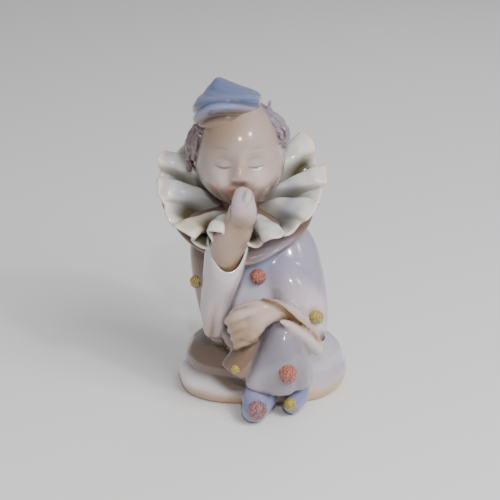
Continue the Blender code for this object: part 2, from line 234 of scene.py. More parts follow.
def stacked(stations, rings, sides, swell=None):
    """Ovals on a rising curve. A station is height, centre x, centre y, half width, half depth.

    Two leans may follow, 0 if left off: how much an oval's front, and then its right side, is
    raised per unit from its centre. swell(angle, rise) multiplies the ovals' size.
    """
    rows = through([(*station, 0, 0)[:7] for station in stations], rings).T[:, :, None]
    height, centre_x, centre_y, wide, deep, lean_front, lean_right = rows
    angle = turns(sides)[None, :]
    rise = np.linspace(0, 1, rings)[:, None]
    size = 1 if swell is None else swell(angle, rise)
    right = wide * size * np.cos(angle)
    forward = -deep * size * np.sin(angle)
    height = height + lean_front * forward + lean_right * right
    return grid(centre_x + right, centre_y - forward, height)


DOME_RINGS = 6


def dome(radius, rings):
    """How far each ring of a round end reaches past it, and its share of the full width."""
    angle = np.arange(1, rings + 1) / (rings + 0.6) * math.pi / 2
    return radius * np.sin(angle), np.cos(angle)


def limb(stations, rings, sides, broad=(1, 0, 0), broad_end=None, swell=None, domes=DOME_RINGS):
    """Ovals carried square to a smooth path, with a dome on each end.

    A station is x, y, z, half width, half thickness. The width is measured along broad, which
    turns to broad_end on the way. swell(angle, along) multiplies the ovals' size.
    """
    rows = through(stations, rings)
    path, wide, thick = rows[:, :3], rows[:, 3], rows[:, 4]
    along = unit(np.gradient(path, axis=0))
    share = np.linspace(0, 1, rings)
    reach, shrink = dome(thick[0], domes)
    reach_end, shrink_end = dome(thick[-1], domes)
    start = path[0] - along[0] * reach[::-1, None]
    end = path[-1] + along[-1] * reach_end[:, None]
    path = np.vstack([start, path, end])
    along = np.vstack([np.repeat(along[:1], domes, 0), along, np.repeat(along[-1:], domes, 0)])
    wide = np.concatenate([wide[0] * shrink[::-1], wide, wide[-1] * shrink_end])
    thick = np.concatenate([thick[0] * shrink[::-1], thick, thick[-1] * shrink_end])
    share = np.concatenate([np.zeros(domes), share, np.ones(domes)])[:, None]
    broad = np.asarray(broad, float)
    broad_end = broad if broad_end is None else np.asarray(broad_end, float)
    up = unit(np.cross(along, broad + (broad_end - broad) * share))
    across = np.cross(up, along)
    angle = turns(sides)[None, :]
    size = 1 if swell is None else swell(angle, share)
    spread = across[:, None] * (wide[:, None] * size * np.cos(angle))[..., None]
    lift = up[:, None] * (thick[:, None] * size * np.sin(angle))[..., None]
    return path[:, None] + spread + lift


def hollowed(rings, wall, depth):
    """A form whose last ring is an open mouth: its rings go on inside, wall thick, depth rings down.

    The lip is a half round, and each inner ring is an outer ring drawn towards its own middle.
    """
    middle = rings.mean(1, keepdims=True)
    radius = np.linalg.norm(rings - middle, axis=2, keepdims=True)
    inner = middle + (rings - middle) * np.maximum(1 - wall / radius, 0.2)
    lip_way = unit(middle[-1] - middle[-3])
    lip = (rings[-1] + inner[-1]) / 2 + lip_way * wall / 2
    return np.concatenate([rings, lip[None], inner[-1:-depth:-1]])


def ball(centre, radius, rings, sides, squash=(1, 1, 1)):
    """A ball of level rings: cosine and sine of the latitude times those of the longitude."""
    rise = np.linspace(-1, 1, rings + 2)[1:-1, None] * math.pi / 2
    angle = turns(sides)[None, :]
    points = grid(np.cos(rise) * np.cos(angle), np.cos(rise) * np.sin(angle), np.sin(rise))
    return np.asarray(centre, float) + radius * points * np.asarray(squash, float)


# meshes

def ring_faces(count, sides):
    """Quads between neighbouring rings, and triangles to a point at each end."""
    ring, side = np.meshgrid(np.arange(count - 1), np.arange(sides), indexing="ij")
    after = (side + 1) % sides
    low, high = ring * sides, (ring + 1) * sides
    quads = np.stack([low + side, low + after, high + after, high + side], axis=2)
    side = np.arange(sides)
    after = (side + 1) % sides
    start, end, top = count * sides, count * sides + 1, (count - 1) * sides
    first = np.stack([np.full(sides, start), after, side], axis=1)
    last = np.stack([np.full(sides, end), top + side, top + after], axis=1)
    return quads.reshape(-1, 4), np.vstack([first, last])


def signed_volume(points, quads, triangles):
    """Sum over the triangles of a . (b x c), which is positive when faces point outwards."""
    halves = np.vstack([quads[:, [0, 1, 2]], quads[:, [0, 2, 3]], triangles])
    a, b, c = (points[halves[:, k]] for k in range(3))
    return np.einsum("ij,ij->i", a, np.cross(b, c)).sum()


def piece(name, forms):
    """One object from closed forms. A form is its rings and its colour, plain or one a point."""
    points, tints, faces = [], [], []
    offset = 0
    for rings, tint in forms:
        count, sides = rings.shape[:2]
        tint = np.broadcast_to(tint, rings.shape)
        form = np.vstack([rings.reshape(-1, 3), rings[0].mean(0), rings[-1].mean(0)])
        quads, triangles = ring_faces(count, sides)
        if signed_volume(form, quads, triangles) < 0:
            quads, triangles = quads[:, ::-1], triangles[:, ::-1]
        points.append(form)
        tints.append(np.vstack([tint.reshape(-1, 3), tint[0].mean(0), tint[-1].mean(0)]))
        faces += (quads + offset).tolist() + (triangles + offset).tolist()
        offset += len(form)
    mesh = bpy.data.meshes.new(name)
    mesh.from_pydata((np.vstack(points) * SHARE).tolist(), [], faces)
    mesh.shade_smooth()
    made = bpy.data.objects.new(name, mesh)
    bpy.context.scene.collection.objects.link(made)
    write_colour(mesh, np.vstack(tints))
    return made


def write_colour(mesh, tints):
    """Keeps a colour for each point in the attribute that the glaze reads."""
    layer = mesh.attributes.get("underglaze")
    if layer is None:
        layer = mesh.attributes.new("underglaze", "FLOAT_COLOR", "POINT")
    padded = np.column_stack([tints, np.ones(len(tints))])
    layer.data.foreach_set("color", padded.ravel().astype(np.float32))


def read_colour(mesh):
    values = np.empty(len(mesh.vertices) * 4, np.float32)
    mesh.attributes["underglaze"].data.foreach_get("color", values)
    return values.reshape(-1, 4)[:, :3].astype(float)


def read_points(mesh):
    values = np.empty(len(mesh.vertices) * 3, np.float32)
    mesh.vertices.foreach_get("co", values)
    return values.reshape(-1, 3).astype(float)


def read_normals(mesh):
    values = np.empty(len(mesh.vertices) * 3, np.float32)
    mesh.vertex_normals.foreach_get("vector", values)
    return values.reshape(-1, 3).astype(float)


def read_edges(mesh):
    values = np.empty(len(mesh.edges) * 2, np.int32)
    mesh.edges.foreach_get("vertices", values)
    return values.reshape(-1, 2)


def relaxed(values, edges, rounds, share=0.5):
    """Each point moves a share of the way to its neighbours' mean, as many times as rounds."""
    count = len(values)
    ends = np.concatenate([edges[:, 0], edges[:, 1]])
    others = np.concatenate([edges[:, 1], edges[:, 0]])
    degree = np.maximum(np.bincount(ends, minlength=count), 1)[:, None]
    for _ in range(rounds):
        near = values[others]
        sums = [np.bincount(ends, near[:, k], count) for k in range(values.shape[1])]
        values = values + share * (np.stack(sums, axis=1) / degree - values)
    return values


def luted(made, voxel, smooth, blend):
    """Fuses the overlapping forms of an object into one skin and softens its joins and colours."""
    mesh = made.data
    mesh.remesh_voxel_size = voxel
    mesh.use_remesh_preserve_attributes = True
    mesh.use_remesh_fix_poles = False
    bpy.context.view_layer.objects.active = made
    made.select_set(True)
    bpy.ops.object.voxel_remesh()
    made.select_set(False)
    mesh = made.data
    edges = read_edges(mesh)
    points = relaxed(read_points(mesh), edges, smooth)
    mesh.vertices.foreach_set("co", points.ravel().astype(np.float32))
    mesh.update()
    mesh.shade_smooth()
    write_colour(mesh, relaxed(read_colour(mesh), edges, blend))


def thumbed(made, places, rounds=60):
    """Rubs joins smooth: points near each place go to where many rounds of relaxing put them."""
    mesh = made.data
    points, edges = read_points(mesh), read_edges(mesh)
    smooth = relaxed(points, edges, rounds)
    weight = np.zeros(len(points))
    for centre, radius in places:
        apart = np.linalg.norm(points / SHARE - centre, axis=1)
        weight = np.maximum(weight, 1 - step_up(apart, 0.6 * radius, 1.2 * radius))
    weight = weight[:, None]
    points = points + (smooth - points) * weight
    mesh.vertices.foreach_set("co", points.ravel().astype(np.float32))
    mesh.update()
    tints = read_colour(mesh)
    write_colour(mesh, tints + (relaxed(tints, edges, rounds) - tints) * weight)


def pooled(made, reach=0.0016, rounds=(8, 60)):
    """Writes how deep each point lies in a hollow, from -1 on a crest to 1 in a crease.

    It is how far the smoothed surface stands out from the point, along the point's normal, near
    by and then further off, over reach. A third value is how far the point faces down.
    The glaze darkens by these values, as pooled glaze and as painted shade.
    """
    mesh = made.data
    points, edges, normals = read_points(mesh), read_edges(mesh), read_normals(mesh)
    near = relaxed(points, edges, rounds[0])
    far = relaxed(near, edges, rounds[1])
    fine = np.einsum("ij,ij->i", near - points, normals) / (reach * 0.12)
    broad = np.einsum("ij,ij->i", far - points, normals) / reach
    down = np.clip(0.15 - normals[:, 2], 0, 1)
    values = relaxed(np.stack([np.tanh(fine), np.tanh(broad), down], axis=1), edges, 2)
    for column, name in enumerate(("crease", "hollow", "beneath")):
        layer = mesh.attributes.new(name, "FLOAT", "POINT")
        layer.data.foreach_set("value", values[:, column].astype(np.float32))


def fired(made, material):
    """The last step of every piece: its glaze, its body, and the node that it stands for."""
    made.data.materials.clear()
    made.data.materials.append(material)
    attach(made, BODY)
    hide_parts(NODE)


# the glaze

def shader_group(name, inputs, outputs):
    """An empty shader node group with named sockets. Returns it with its two end nodes."""
    group = bpy.data.node_groups.new(name, "ShaderNodeTree")
    for label, kind in inputs:
        group.interface.new_socket(label, in_out="INPUT", socket_type=kind)
    for label, kind in outputs:
        group.interface.new_socket(label, in_out="OUTPUT", socket_type=kind)
    return group, group.nodes.new("NodeGroupInput"), group.nodes.new("NodeGroupOutput")


def math_node(tree, operation, first, second=None, clamp=False):
    """A Math node whose inputs are sockets or plain numbers. Returns its output."""
    node = tree.nodes.new("ShaderNodeMath")
    node.operation = operation
    node.use_clamp = clamp
    for socket, value in zip(node.inputs, (first, second)):
        if isinstance(value, bpy.types.NodeSocket):
            tree.links.new(value, socket)
        elif value is not None:
            socket.default_value = value
    return node.outputs[0]


def mix_node(tree, blend_type, factor, first, second):
    """A colour Mix node whose inputs are sockets or plain values. Returns its output."""
    node = tree.nodes.new("ShaderNodeMix")
    node.data_type = "RGBA"
    node.blend_type = blend_type
    for index, value in ((0, factor), (6, first), (7, second)):
        if isinstance(value, bpy.types.NodeSocket):
            tree.links.new(value, node.inputs[index])
        else:
            node.inputs[index].default_value = value
    return node.outputs[2]


def noise_node(tree, position, scale, detail):
    node = tree.nodes.new("ShaderNodeTexNoise")
    node.inputs["Scale"].default_value = scale
    node.inputs["Detail"].default_value = detail
    tree.links.new(position, node.inputs["Vector"])
    return node.outputs["Fac"]


def pooling_and_shade_group():
    """Underglaze that darkens in creases and hollows, partly as pooled glaze and partly as painted
    shade, takes a painted warm shade where it faces down, lightens on crests as thin glaze and
    painted light, clouds and carries a few iron specks.
    """
    colours, numbers = "NodeSocketColor", "NodeSocketFloat"
    group, entry, leave = shader_group(
        "glaze_pooling_and_shade",
        [("Colour", colours), ("Crease", numbers), ("Hollow", numbers), ("Beneath", numbers),
         ("Depth", numbers), ("Pool Shade", colours), ("Specks", numbers)],
        [("Colour", colours), ("Roughness", numbers), ("Height", numbers)],
    )
    links, given = group.links, entry.outputs

    def joined(operation, first, second, clamp=False):
        return math_node(group, operation, first, second, clamp)

    def times(first, second, clamp=False):
        return joined("MULTIPLY", first, second, clamp)

    position = group.nodes.new("ShaderNodeTexCoord").outputs["Object"]
    # Creases and hollows darken towards the given colour: pooled glaze and painted shade.
    crease = times(joined("MAXIMUM", given["Crease"], 0.0), 0.6)
    hollow = times(joined("MAXIMUM", given["Hollow"], 0.0), 0.95)
    deep = times(joined("ADD", crease, hollow), given["Depth"], True)
    pooled_shaded_colour = mix_node(group, "MULTIPLY", deep, given["Colour"], given["Pool Shade"])
    # Painted warm shade on surfaces that face down.
    low = times(given["Beneath"], 0.6, True)
    pooled_shaded_colour = mix_node(group, "MULTIPLY", low, pooled_shaded_colour, (0.62, 0.47, 0.34, 1))
    # Crests lighten: thin glaze and painted light.
    crest = joined("MAXIMUM", times(given["Hollow"], -1.0), 0.0)
    bright = mix_node(group, "MULTIPLY", crest, pooled_shaded_colour, (1.22, 1.20, 1.18, 1))
    cloud = times(joined("SUBTRACT", noise_node(group, position, 55.0, 3.0), 0.45, True), 0.30)
    clouded = mix_node(group, "MULTIPLY", cloud, bright, (0.80, 0.79, 0.84, 1))
    cells = group.nodes.new("ShaderNodeTexVoronoi")
    cells.inputs["Scale"].default_value = 75.0
    links.new(position, cells.inputs["Vector"])
    dot = joined("LESS_THAN", cells.outputs["Distance"], 0.028)
    rare = group.nodes.new("ShaderNodeSeparateColor")
    links.new(cells.outputs["Color"], rare.inputs[0])
    chosen = joined("GREATER_THAN", rare.outputs[0], 0.86)
    speck = times(times(dot, chosen), given["Specks"])
    specked = mix_node(group, "MIX", speck, clouded, (0.16, 0.09, 0.06, 1))
    links.new(specked, leave.inputs["Colour"])
    wave = noise_node(group, position, 170.0, 1.0)
    links.new(joined("ADD", times(wave, 0.10), 0.17), leave.inputs["Roughness"])
    links.new(wave, leave.inputs["Height"])
    return group


def glaze(name, pool_shade, depth=1.0, specks=1.0, coat_roughness=0.035):
    """A clear gloss over painted clay. pool_shade is the colour that the glaze takes on in its
    hollows, as pooled glaze and as painted shade.
    """
    material = bpy.data.materials.new(name)
    material.use_nodes = True
    tree = material.node_tree
    shader = tree.nodes["Principled BSDF"]
    shader.inputs["Metallic"].default_value = 0.0
    shader.inputs["IOR"].default_value = 1.5
    shader.inputs["Coat Weight"].default_value = 1.0
    shader.inputs["Coat Roughness"].default_value = coat_roughness
    shader.inputs["Coat IOR"].default_value = 1.55
    group = tree.nodes.new("ShaderNodeGroup")
    group.node_tree = bpy.data.node_groups.get("glaze_pooling_and_shade") or pooling_and_shade_group()
    sources = {"Colour": "underglaze", "Crease": "crease", "Hollow": "hollow", "Beneath": "beneath"}
    for label, source in sources.items():
        layer = tree.nodes.new("ShaderNodeAttribute")
        layer.attribute_name = source
        output = "Color" if label == "Colour" else "Fac"
        tree.links.new(layer.outputs[output], group.inputs[label])
    group.inputs["Depth"].default_value = depth
    group.inputs["Pool Shade"].default_value = (*pool_shade, 1)
    group.inputs["Specks"].default_value = specks
    tree.links.new(group.outputs["Colour"], shader.inputs["Base Color"])
    tree.links.new(group.outputs["Roughness"], shader.inputs["Roughness"])
    relief = tree.nodes.new("ShaderNodeBump")
    relief.inputs["Strength"].default_value = 0.12
    relief.inputs["Distance"].default_value = 0.0004
    tree.links.new(group.outputs["Height"], relief.inputs["Height"])
    tree.links.new(relief.outputs["Normal"], shader.inputs["Normal"])
    tree.links.new(relief.outputs["Normal"], shader.inputs["Coat Normal"])
    material.diffuse_color = (0.7, 0.7, 0.74, 1)
    return material


# Colours that creases and hollows darken towards: pooled glaze and painted shade.
WARM_POOL_SHADE = (0.36, 0.25, 0.16)
COOL_POOL_SHADE = (0.34, 0.30, 0.29)
OLIVE_POOL_SHADE = (0.24, 0.24, 0.14)


# the rock

def rock_form():
    """A low boulder: its ovals swell into a fat rolled foot, with lumps as sums of cosines."""
    stations = [
        (0.0, 5.3, 3.5, 41.0, 26.6),
        (1.2, 5.3, 3.5, 43.8, 29.0),
        (5, 5.3, 3.5, 45.2, 30.0),
        (9, 5.4, 3.5, 44.6, 29.6),
        (13, 5.5, 4, 42.0, 28.0),
        (19, 5.5, 4.5, 40.5, 27.0),
        (25, 5, 5, 35.0, 24.0),
        (30, 5, 5, 24.0, 18.0),
        (32, 5, 5, 8.0, 8.0),
    ]

    def lumps(angle, rise):
        square = 0.05 * np.cos(4 * angle) * (1 - rise)
        left = bump(angle - 1.15 * math.pi, 0.75)
        ledge = left * (0.015 * bump(rise - 0.30, 0.10) - 0.035 * bump(rise - 0.52, 0.06))
        small = 0.010 * np.sin(5 * angle + 3 * rise) + 0.005 * np.sin(11 * angle - 7 * rise)
        taper = 0.06 * bump(angle - 0.78 * math.pi, 0.5)
        return 1 - square + 0.025 * np.sin(3 * angle + 0.6) + small + ledge - taper

    rings = stacked(stations, 120, 240, lumps)
    x, y, z = axes(rings)
    # The rock is beige towards the bottom. On the left, painted shadow above the ledge and a painted
    # lit band just under it.
    foot = 1 - step_up(z, 2.5, 9.5 + 2.0 * step_up(x, 12.0, 34.0))
    side = step_up(-x, -18.0, 6.0) * step_up(-y, -34.0, -18.0)
    low = 12.0 - 6.0 * step_up(x, -22.0, -6.0)
    shade = side * step_up(z - low, -1.5, 3.0)
    lit = side * bump(z - low + 3.5, 4.0)
    tint = mixed(colour("rock"), colour("white") * 1.25, 0.8 * lit)
    tint = mixed(tint, colour("clay") * 1.3, 0.9 * foot)
    return rings, mixed(tint, colour("shade"), 0.95 * shade)


class CLOWN_OT_rock(Operator):
    """Builds the rock that the clown sits on"""

    bl_idname = "clown.rock"
    bl_label = "Rock"

    def execute(self, context):
        made = piece("rock", [rock_form()])
        pooled(made)
        fired(made, glaze("rock_glaze", WARM_POOL_SHADE, 0.8))
        return {"FINISHED"}


# the clothes

def in_shadow(rings, tint):
    """Darkens what lies low between the raised sleeve, the rock and the legs."""
    x, y, z = axes(rings)
    low = (1 - step_up(z, 38, 50)) * step_up(-x, 1, 9) * step_up(-y, 0, 12)
    return mixed(tint, colour("shade"), 0.9 * low)


def armpit_shade(rings, tint):
    """Painted shade: a deeper blue in the soft hollow between the chest and the arm on the viewer's
    right.
    """
    x, y, z = axes(rings)
    hollow = bump(x - 12.5 + 0.12 * (z - 72), 2.6) * bump(z - 72, 9) * step_up(-y, 8, 15)
    return mixed(tint, colour("roll") * 0.7, 0.55 * hollow)


def jacket_form():
    """The round body of the jacket, slouched at the back, with a hem that spreads on the rock."""
    stations = [
        (19, 5, 6, 30, 24),
        (25, 5.5, 6, 31.5, 25.5),
        (31, 5.5, 5, 28.5, 23.5),
        (42, 4.5, 3, 27.5, 25.5),
        (56, 2.5, 2.5, 26.0, 26.0),
        (70, 1.0, 3.5, 25.5, 24.0),
        (82, 0, 4.5, 23.5, 20.5),
        (90, -3.5, 4.5, 16, 14.5),
        (95, -5, 4, 9, 9),
    ]

    def drape(angle, rise):
        hem = np.clip(1 - 4 * rise, 0, 1)
        back = bump(np.remainder(angle, FULL_TURN) - math.pi / 2, 1.1)
        ripple = 0.035 * hem * np.sin(9 * angle) + 0.02 * back * np.sin(7 * angle + 6 * rise)
        return 1 + ripple + 0.03 * back * np.sin(5 * angle + 7 * rise) * (1 - rise)

    rings = stacked(stations, 100, 180, drape)
    x, y, z = axes(rings)
    belly = bump(z - 58, 14) * step_up(-y, 0, 18)
    tint = mixed(colour("lavender"), colour("roll") * 1.2, 0.6 * belly)
    # Painted light: white on the front of the belly.
    tint = mixed(tint, colour("white"), 0.6 * bump(z - 57, 8) * step_up(-y, 4, 18))
    # Painted shade: a darker blue on the chest under the cape.
    chest = bump(x - 3, 9) * step_up(z, 62, 74) * step_up(-y, 8, 16)
    tint = mixed(tint, colour("roll") * 0.75, 0.55 * chest)
    # Painted shade: brown on the viewer's left side, away from the light.
    left = step_up(-x, 12, 24) * step_up(-y, -14, 2)
    return rings, in_shadow(rings, armpit_shade(rings, mixed(tint, colour("clay") * 0.42, 0.9 * left)))


def left_sleeve_form():
    """The full sleeve on the viewer's right, an open bell whose mouth lies over the knee.

    Its last rings are drawn to the mouth, a closed curve through points from its lower right end
    over the top of the wrist and back under it.
    """
    stations = [
        (10, 3, 86, 9.0, 9.0),
        (18, -2, 77, 13.5, 12.5),
        (21.5, -6.5, 64, 14.5, 14.5),
        (23.5, -11, 53, 14.5, 14.5),
        (25, -16, 45, 13.5, 12.5),
        (24, -23, 43, 14.0, 9.5),
        (22, -28, 46, 16.5, 7.5),
        (20, -33.0, 48, 19.0, 6.0),
    ]
    mouth = [
        (35.0, -26, 32.0), (34.2, -26.5, 37.5), (28.4, -32.5, 46.8), (19.4, -37.2, 57.0),
        (12.6, -38.8, 63.4), (5.6, -37, 64.8), (4.4, -32, 61.0), (7.3, -28.5, 53.5),
        (12.1, -30, 48.4), (16.8, -36.4, 50.2), (24.4, -34.8, 42.2), (32.4, -28.0, 30.0),
    ]

    def creases(angle, along):
        inner = bump(np.remainder(angle - 0.5, FULL_TURN) - math.pi, 1.2)
        folds = 0.05 * np.sin(16 * along + 1.5 * np.sin(angle)) * bump(along - 0.45, 0.28) * inner
        return 1 + folds

    sides = 144
    rings = limb(stations, 120, sides, (1, 0.2, 0), (0.7, 0.1, -0.7), creases)[:-DOME_RINGS]
    drawn = step_up(ring_share(rings), 0.62, 1.0)[..., None]
    rings = hollowed(rings + drawn * (closed_loop(mouth, sides) - rings[-1]), 1.8, 6)
    share = ring_share(rings)
    tint = armpit_shade(rings, mixed(colour("lavender"), colour("sleeve"), step_up(share, 0.42, 0.8)))
    # Painted shade: beige at and inside the sleeve's mouth.
    return rings, mixed(tint, colour("clay") * 1.05, step_up(share, 0.91, 0.93))


def cuff_lip_form():
    """The rolled lower lip of that mouth."""
    stations = [
        (14.4, -36.2, 51.8, 1.2, 1.0),
        (18.4, -35.6, 49.6, 2.5, 2.1),
        (24.8, -32.6, 42.8, 3.4, 2.8),
        (29.8, -28.8, 35.6, 3.6, 2.9),
        (33.0, -25.4, 30.4, 2.9, 2.5),
    ]
    rings = limb(stations, 50, 40)
    # Painted shade: beige on the lip's upper side, facing into the cuff, deeper towards its inner
    # end.
    above = step_up((rings - rings.mean(axis=1, keepdims=True))[..., 2], 0.6, 1.8)
    inward = 1 - step_up(rings[..., 0], 20, 32)
    return rings, mixed(colour("sleeve"), colour("clay"), (0.3 + 0.6 * inward) * above)


def cuff_fill_form():
    """The far end of the cuff's inside: a ball in the beige of painted shade."""
    return ball((31.0, -25.4, 36.2), 3.9, 24, 36), colour("clay")


def elbow_form():
    """Cloth that fills the bend of that arm."""
    stations = [
        (16, -12, 70, 9, 8),
        (19, -17, 64, 10, 8.5),
        (24, -19, 56, 10.5, 9),
        (28, -15, 48, 10, 9),
    ]
    rings = limb(stations, 40, 60)
    return rings, mixed(colour("sleeve"), colour("lavender"), step_up(rings[..., 2], 56, 72))


def right_upper_arm_form():
    """The upper arm behind the raised sleeve, which makes the viewer's left outline."""
    stations = [
        (-16, 4, 85, 9.5, 9.5),
        (-20, 2, 76, 10.5, 10.5),
        (-18.5, -3, 60, 10.5, 12.0),
        (-16, -7, 46, 10.0, 12.0),
        (-14, -10, 36, 9.0, 9.5),
    ]
    rings = limb(stations, 60, 90)
    # Painted shade: brown on the viewer's left side, away from the light.
    left = step_up(-rings[..., 0], 10, 22)
    return rings, in_shadow(rings, mixed(colour("lavender"), colour("clay") * 0.42, 0.92 * left))


def raised_sleeve_form():
    """The bell sleeve of the raised arm, hanging in folds to the elbow and open at the wrist.

    Its ovals sit level at the back, and dip in front by the square of how far forward they are.
    """
    stations = [
        (35.5, -18.2, -18, 3.6, 4.0),
        (38.0, -18.2, -18, 5.2, 6.5),
        (42, -17.8, -18, 6.2, 8.5),
        (51, -17.6, -18, 7.4, 10.5),
        (63, -15.4, -18, 8.8, 12.0),
        (75, -13.0, -19, 10.2, 13.0),
        (84, -11.8, -20, 10.6, 12.6),
        (89.5, -11.0, -20.5, 10.4, 11.6),
    ]

    def folds(angle, rise):
        groove = bump(angle - FRONT + 0.15, 0.22) - 0.7 * bump(angle - FRONT - 0.5, 0.3)
        groove = groove - 0.5 * bump(angle - FRONT + 0.75, 0.3)
        return 1 - 0.26 * groove * bump(rise - 0.14, 0.36)

    sides = 120
    rings = stacked(stations, 100, sides, folds)
    forward = np.clip(-np.sin(turns(sides)), 0, 1) ** 1.4
    rings[..., 2] -= 15.0 * step_up(ring_share(rings), 0.25, 1.0) * forward
    rings = hollowed(rings, 1.5, 26)
    share = ring_share(rings)
    top = colour("white") * (0.74, 0.73, 0.78)
    tint = mixed(colour("sleeve") * 0.86, top, 0.8 * step_up(share, 0.1, 0.6))
    # Painted shade: beige low on the hanging fold at the viewer's left.
    hang = (1 - step_up(rings[..., 2], 38, 62)) * bump(rings[..., 0] + 19.5, 4.5)
    tint = mixed(tint, colour("clay") * 0.85, 0.70 * hang)
    # Painted shade: beige inside the sleeve's mouth.
    return rings, mixed(tint, colour("clay") * 1.1, 0.8 * step_up(share, 0.84, 0.90))


def left_leg_form():
    """The bell-shaped trouser leg in front, hanging from the knee to its wide hem."""
    stations = [
        (15.4, 13.6, -30, 14.0, 10.6, -0.11),
        (15.8, 13.6, -30, 16.2, 12.2, -0.11),
        (17.2, 13.6, -30, 17.1, 13.1, -0.11),
        (20, 13.8, -30.1, 16.9, 13.1, -0.11),
        (24, 14.3, -30.5, 16.0, 13.0, -0.1),
        (31, 15.5, -31, 13.4, 12.2, -0.05),
        (40, 16, -30, 9.8, 10.6, 0),
        (47, 16, -28, 6.5, 8.2, 0),
        (51, 16, -26, 2.5, 4.0, 0),
    ]

    def folds(angle, rise):
        low = (1 - rise) ** 1.2
        crease = bump(angle - FRONT - 0.62, 0.2) + 0.7 * bump(angle - FULL_TURN + 0.3, 0.25)
        return 1 - 0.17 * low * crease + 0.035 * low * np.cos(5 * angle + 0.8)

    sides = 140
    rings = stacked(stations, 90, sides, folds)
    # Painted light: a lighter stripe down one fold of the leg.
    fold = bump(turns(sides) - FRONT + 0.75, 0.28) * (1 - step_up(rings[..., 2], 18, 38))
    return rings, mixed(colour("dusk"), colour("white"), 0.35 * fold)


def right_leg_form():
    """The trouser leg behind it: a bell whose open hem tips to the viewer's left."""
    stations = [
        (7, -21, 41, 7.0, 8.0),
        (3, -24, 35.5, 7.6, 8.2),
        (-1.5, -27, 29.5, 8.0, 8.4),
        (-5.2, -29, 24.4, 8.4, 8.4),
        (-7.4, -30, 21.2, 8.8, 8.4),
    ]
    rings = hollowed(limb(stations, 60, 100, (0.7, 0, -0.7))[:-DOME_RINGS], 1.8, 10)
    # Painted shade: the leg behind is darkened brown, with a lighter rim at its hem as painted light.
    dark = 0.85 - 0.3 * bump(ring_share(rings) - 0.83, 0.015)
    tint = mixed(mixed(colour("dusk"), colour("clay"), 0.6), colour("shade"), dark)
    # Painted shadow low on the leg.
    low = 1 - step_up(rings[..., 2], 15, 26)
    return rings, mixed(tint, colour("shade") * 0.6, 0.7 * low)


def thigh_forms():
    """The laps of both legs, from the seat forward to the knees."""
    left = [(8, 0, 36, 12, 12), (13, -16, 39, 11, 11), (15, -26, 39, 10, 10)]
    right = [(-4, 0, 34, 12, 11), (-5, -14, 37, 11, 10), (-4, -23, 38, 10, 9)]
    forms = [limb(stations, 30, 60) for stations in (left, right)]
    return [(rings, in_shadow(rings, colour("dusk"))) for rings in forms]


class CLOWN_OT_clothes(Operator):
    """Builds the jacket, its sleeves and the trousers as one luted skin"""

    bl_idname = "clown.clothes"
    bl_label = "Clothes"

    def execute(self, context):
        forms = [jacket_form(), left_sleeve_form(), elbow_form(), cuff_lip_form(), cuff_fill_form(),
                 right_upper_arm_form(), raised_sleeve_form(), left_leg_form(), right_leg_form()]
        made = piece("clothes", forms + thigh_forms())
        luted(made, sizes().cloth_voxel, 12, 18)
        joins = (((18, -24, 66), 14), ((27, -20, 56), 13), ((8, -24, 62), 12), ((12, -16, 82), 12))
        thumbed(made, joins)
        pooled(made)
        fired(made, glaze("cloth_glaze", COOL_POOL_SHADE))
        return {"FINISHED"}


# the hands

def raised_hand_forms():
    """The forearm out of the sleeve's mouth, the fist, its curled fingers and the raised finger."""
    forearm = [
        (-12.6, -20.5, 73, 7.2, 7.6),
        (-12.2, -22.6, 81, 8.1, 8.2),
        (-10.2, -24.8, 89, 8.8, 7.4),
        (-6.8, -28, 96, 7.8, 6.4),
        (-4.8, -29.6, 102, 6.4, 5.8),
    ]
    fist = [
        (-4.6, -30, 100, 5.8, 5.2),
        (-3.6, -31.2, 105, 6.5, 5.4),
        (-3.4, -30.6, 109.5, 5.8, 5.2),
        (-3.2, -28.8, 113.2, 4.6, 4.2),
    ]
    finger = [
        (-5.6, -32.6, 101.5, 3.8, 3.4),
        (-5.0, -33.2, 107, 4.6, 3.9),
        (-4.4, -31.2, 111.6, 4.7, 4.1),
        (-4.0, -28.2, 114.0, 4.1, 3.6),
    ]
    thumb = [
        (-9.4, -28.8, 98, 2.8, 2.8),
        (-9.2, -30.0, 103, 2.6, 2.6),
        (-8.4, -29.4, 107.5, 2.0, 2.0),
    ]
    forms = [limb(forearm, 40, 60), limb(fist, 36, 60), limb(finger, 30, 40), limb(thumb, 20, 32)]
    for curled in range(3):
        top = 115.6 - 3.3 * curled
        out = -1.6 + 0.9 * curled
        stations = [
            (out - 1.4, -33.8 + 0.4 * curled, top - 4.0, 2.1, 2.1),
            (out - 0.2, -33.6 + 0.4 * curled, top - 1.8, 2.1, 2.1),
            (out + 0.3, -30.8 + 0.4 * curled, top - 0.4, 2.0, 2.0),
        ]
        forms.append(limb(stations, 18, 32))
    shade = []
    for rings in forms:
        x, height = rings[..., 0], rings[..., 2]
        # Painted light: the top of the fist lighter, pinkish white.
        tint = mixed(colour("skin"), colour("sleeve"), 0.65 * step_up(height, 98, 112))
        # The palm is set back, with painted shade in its hollow.
        palm = bump(np.hypot((x + 6.4) / 6.0, (height - 97.5) / 8.0), 1.0)
        rings[..., 1] += 1.8 * palm
        tint = mixed(tint, colour("clay") * 0.75, 0.85 * palm)
        # Painted shade on the forearm low in the sleeve.
        sunk = 1 - step_up(height, 76, 94)
        shade.append(mixed(tint, colour("clay") * 0.7, 0.8 * sunk))
    return list(zip(forms, shade))


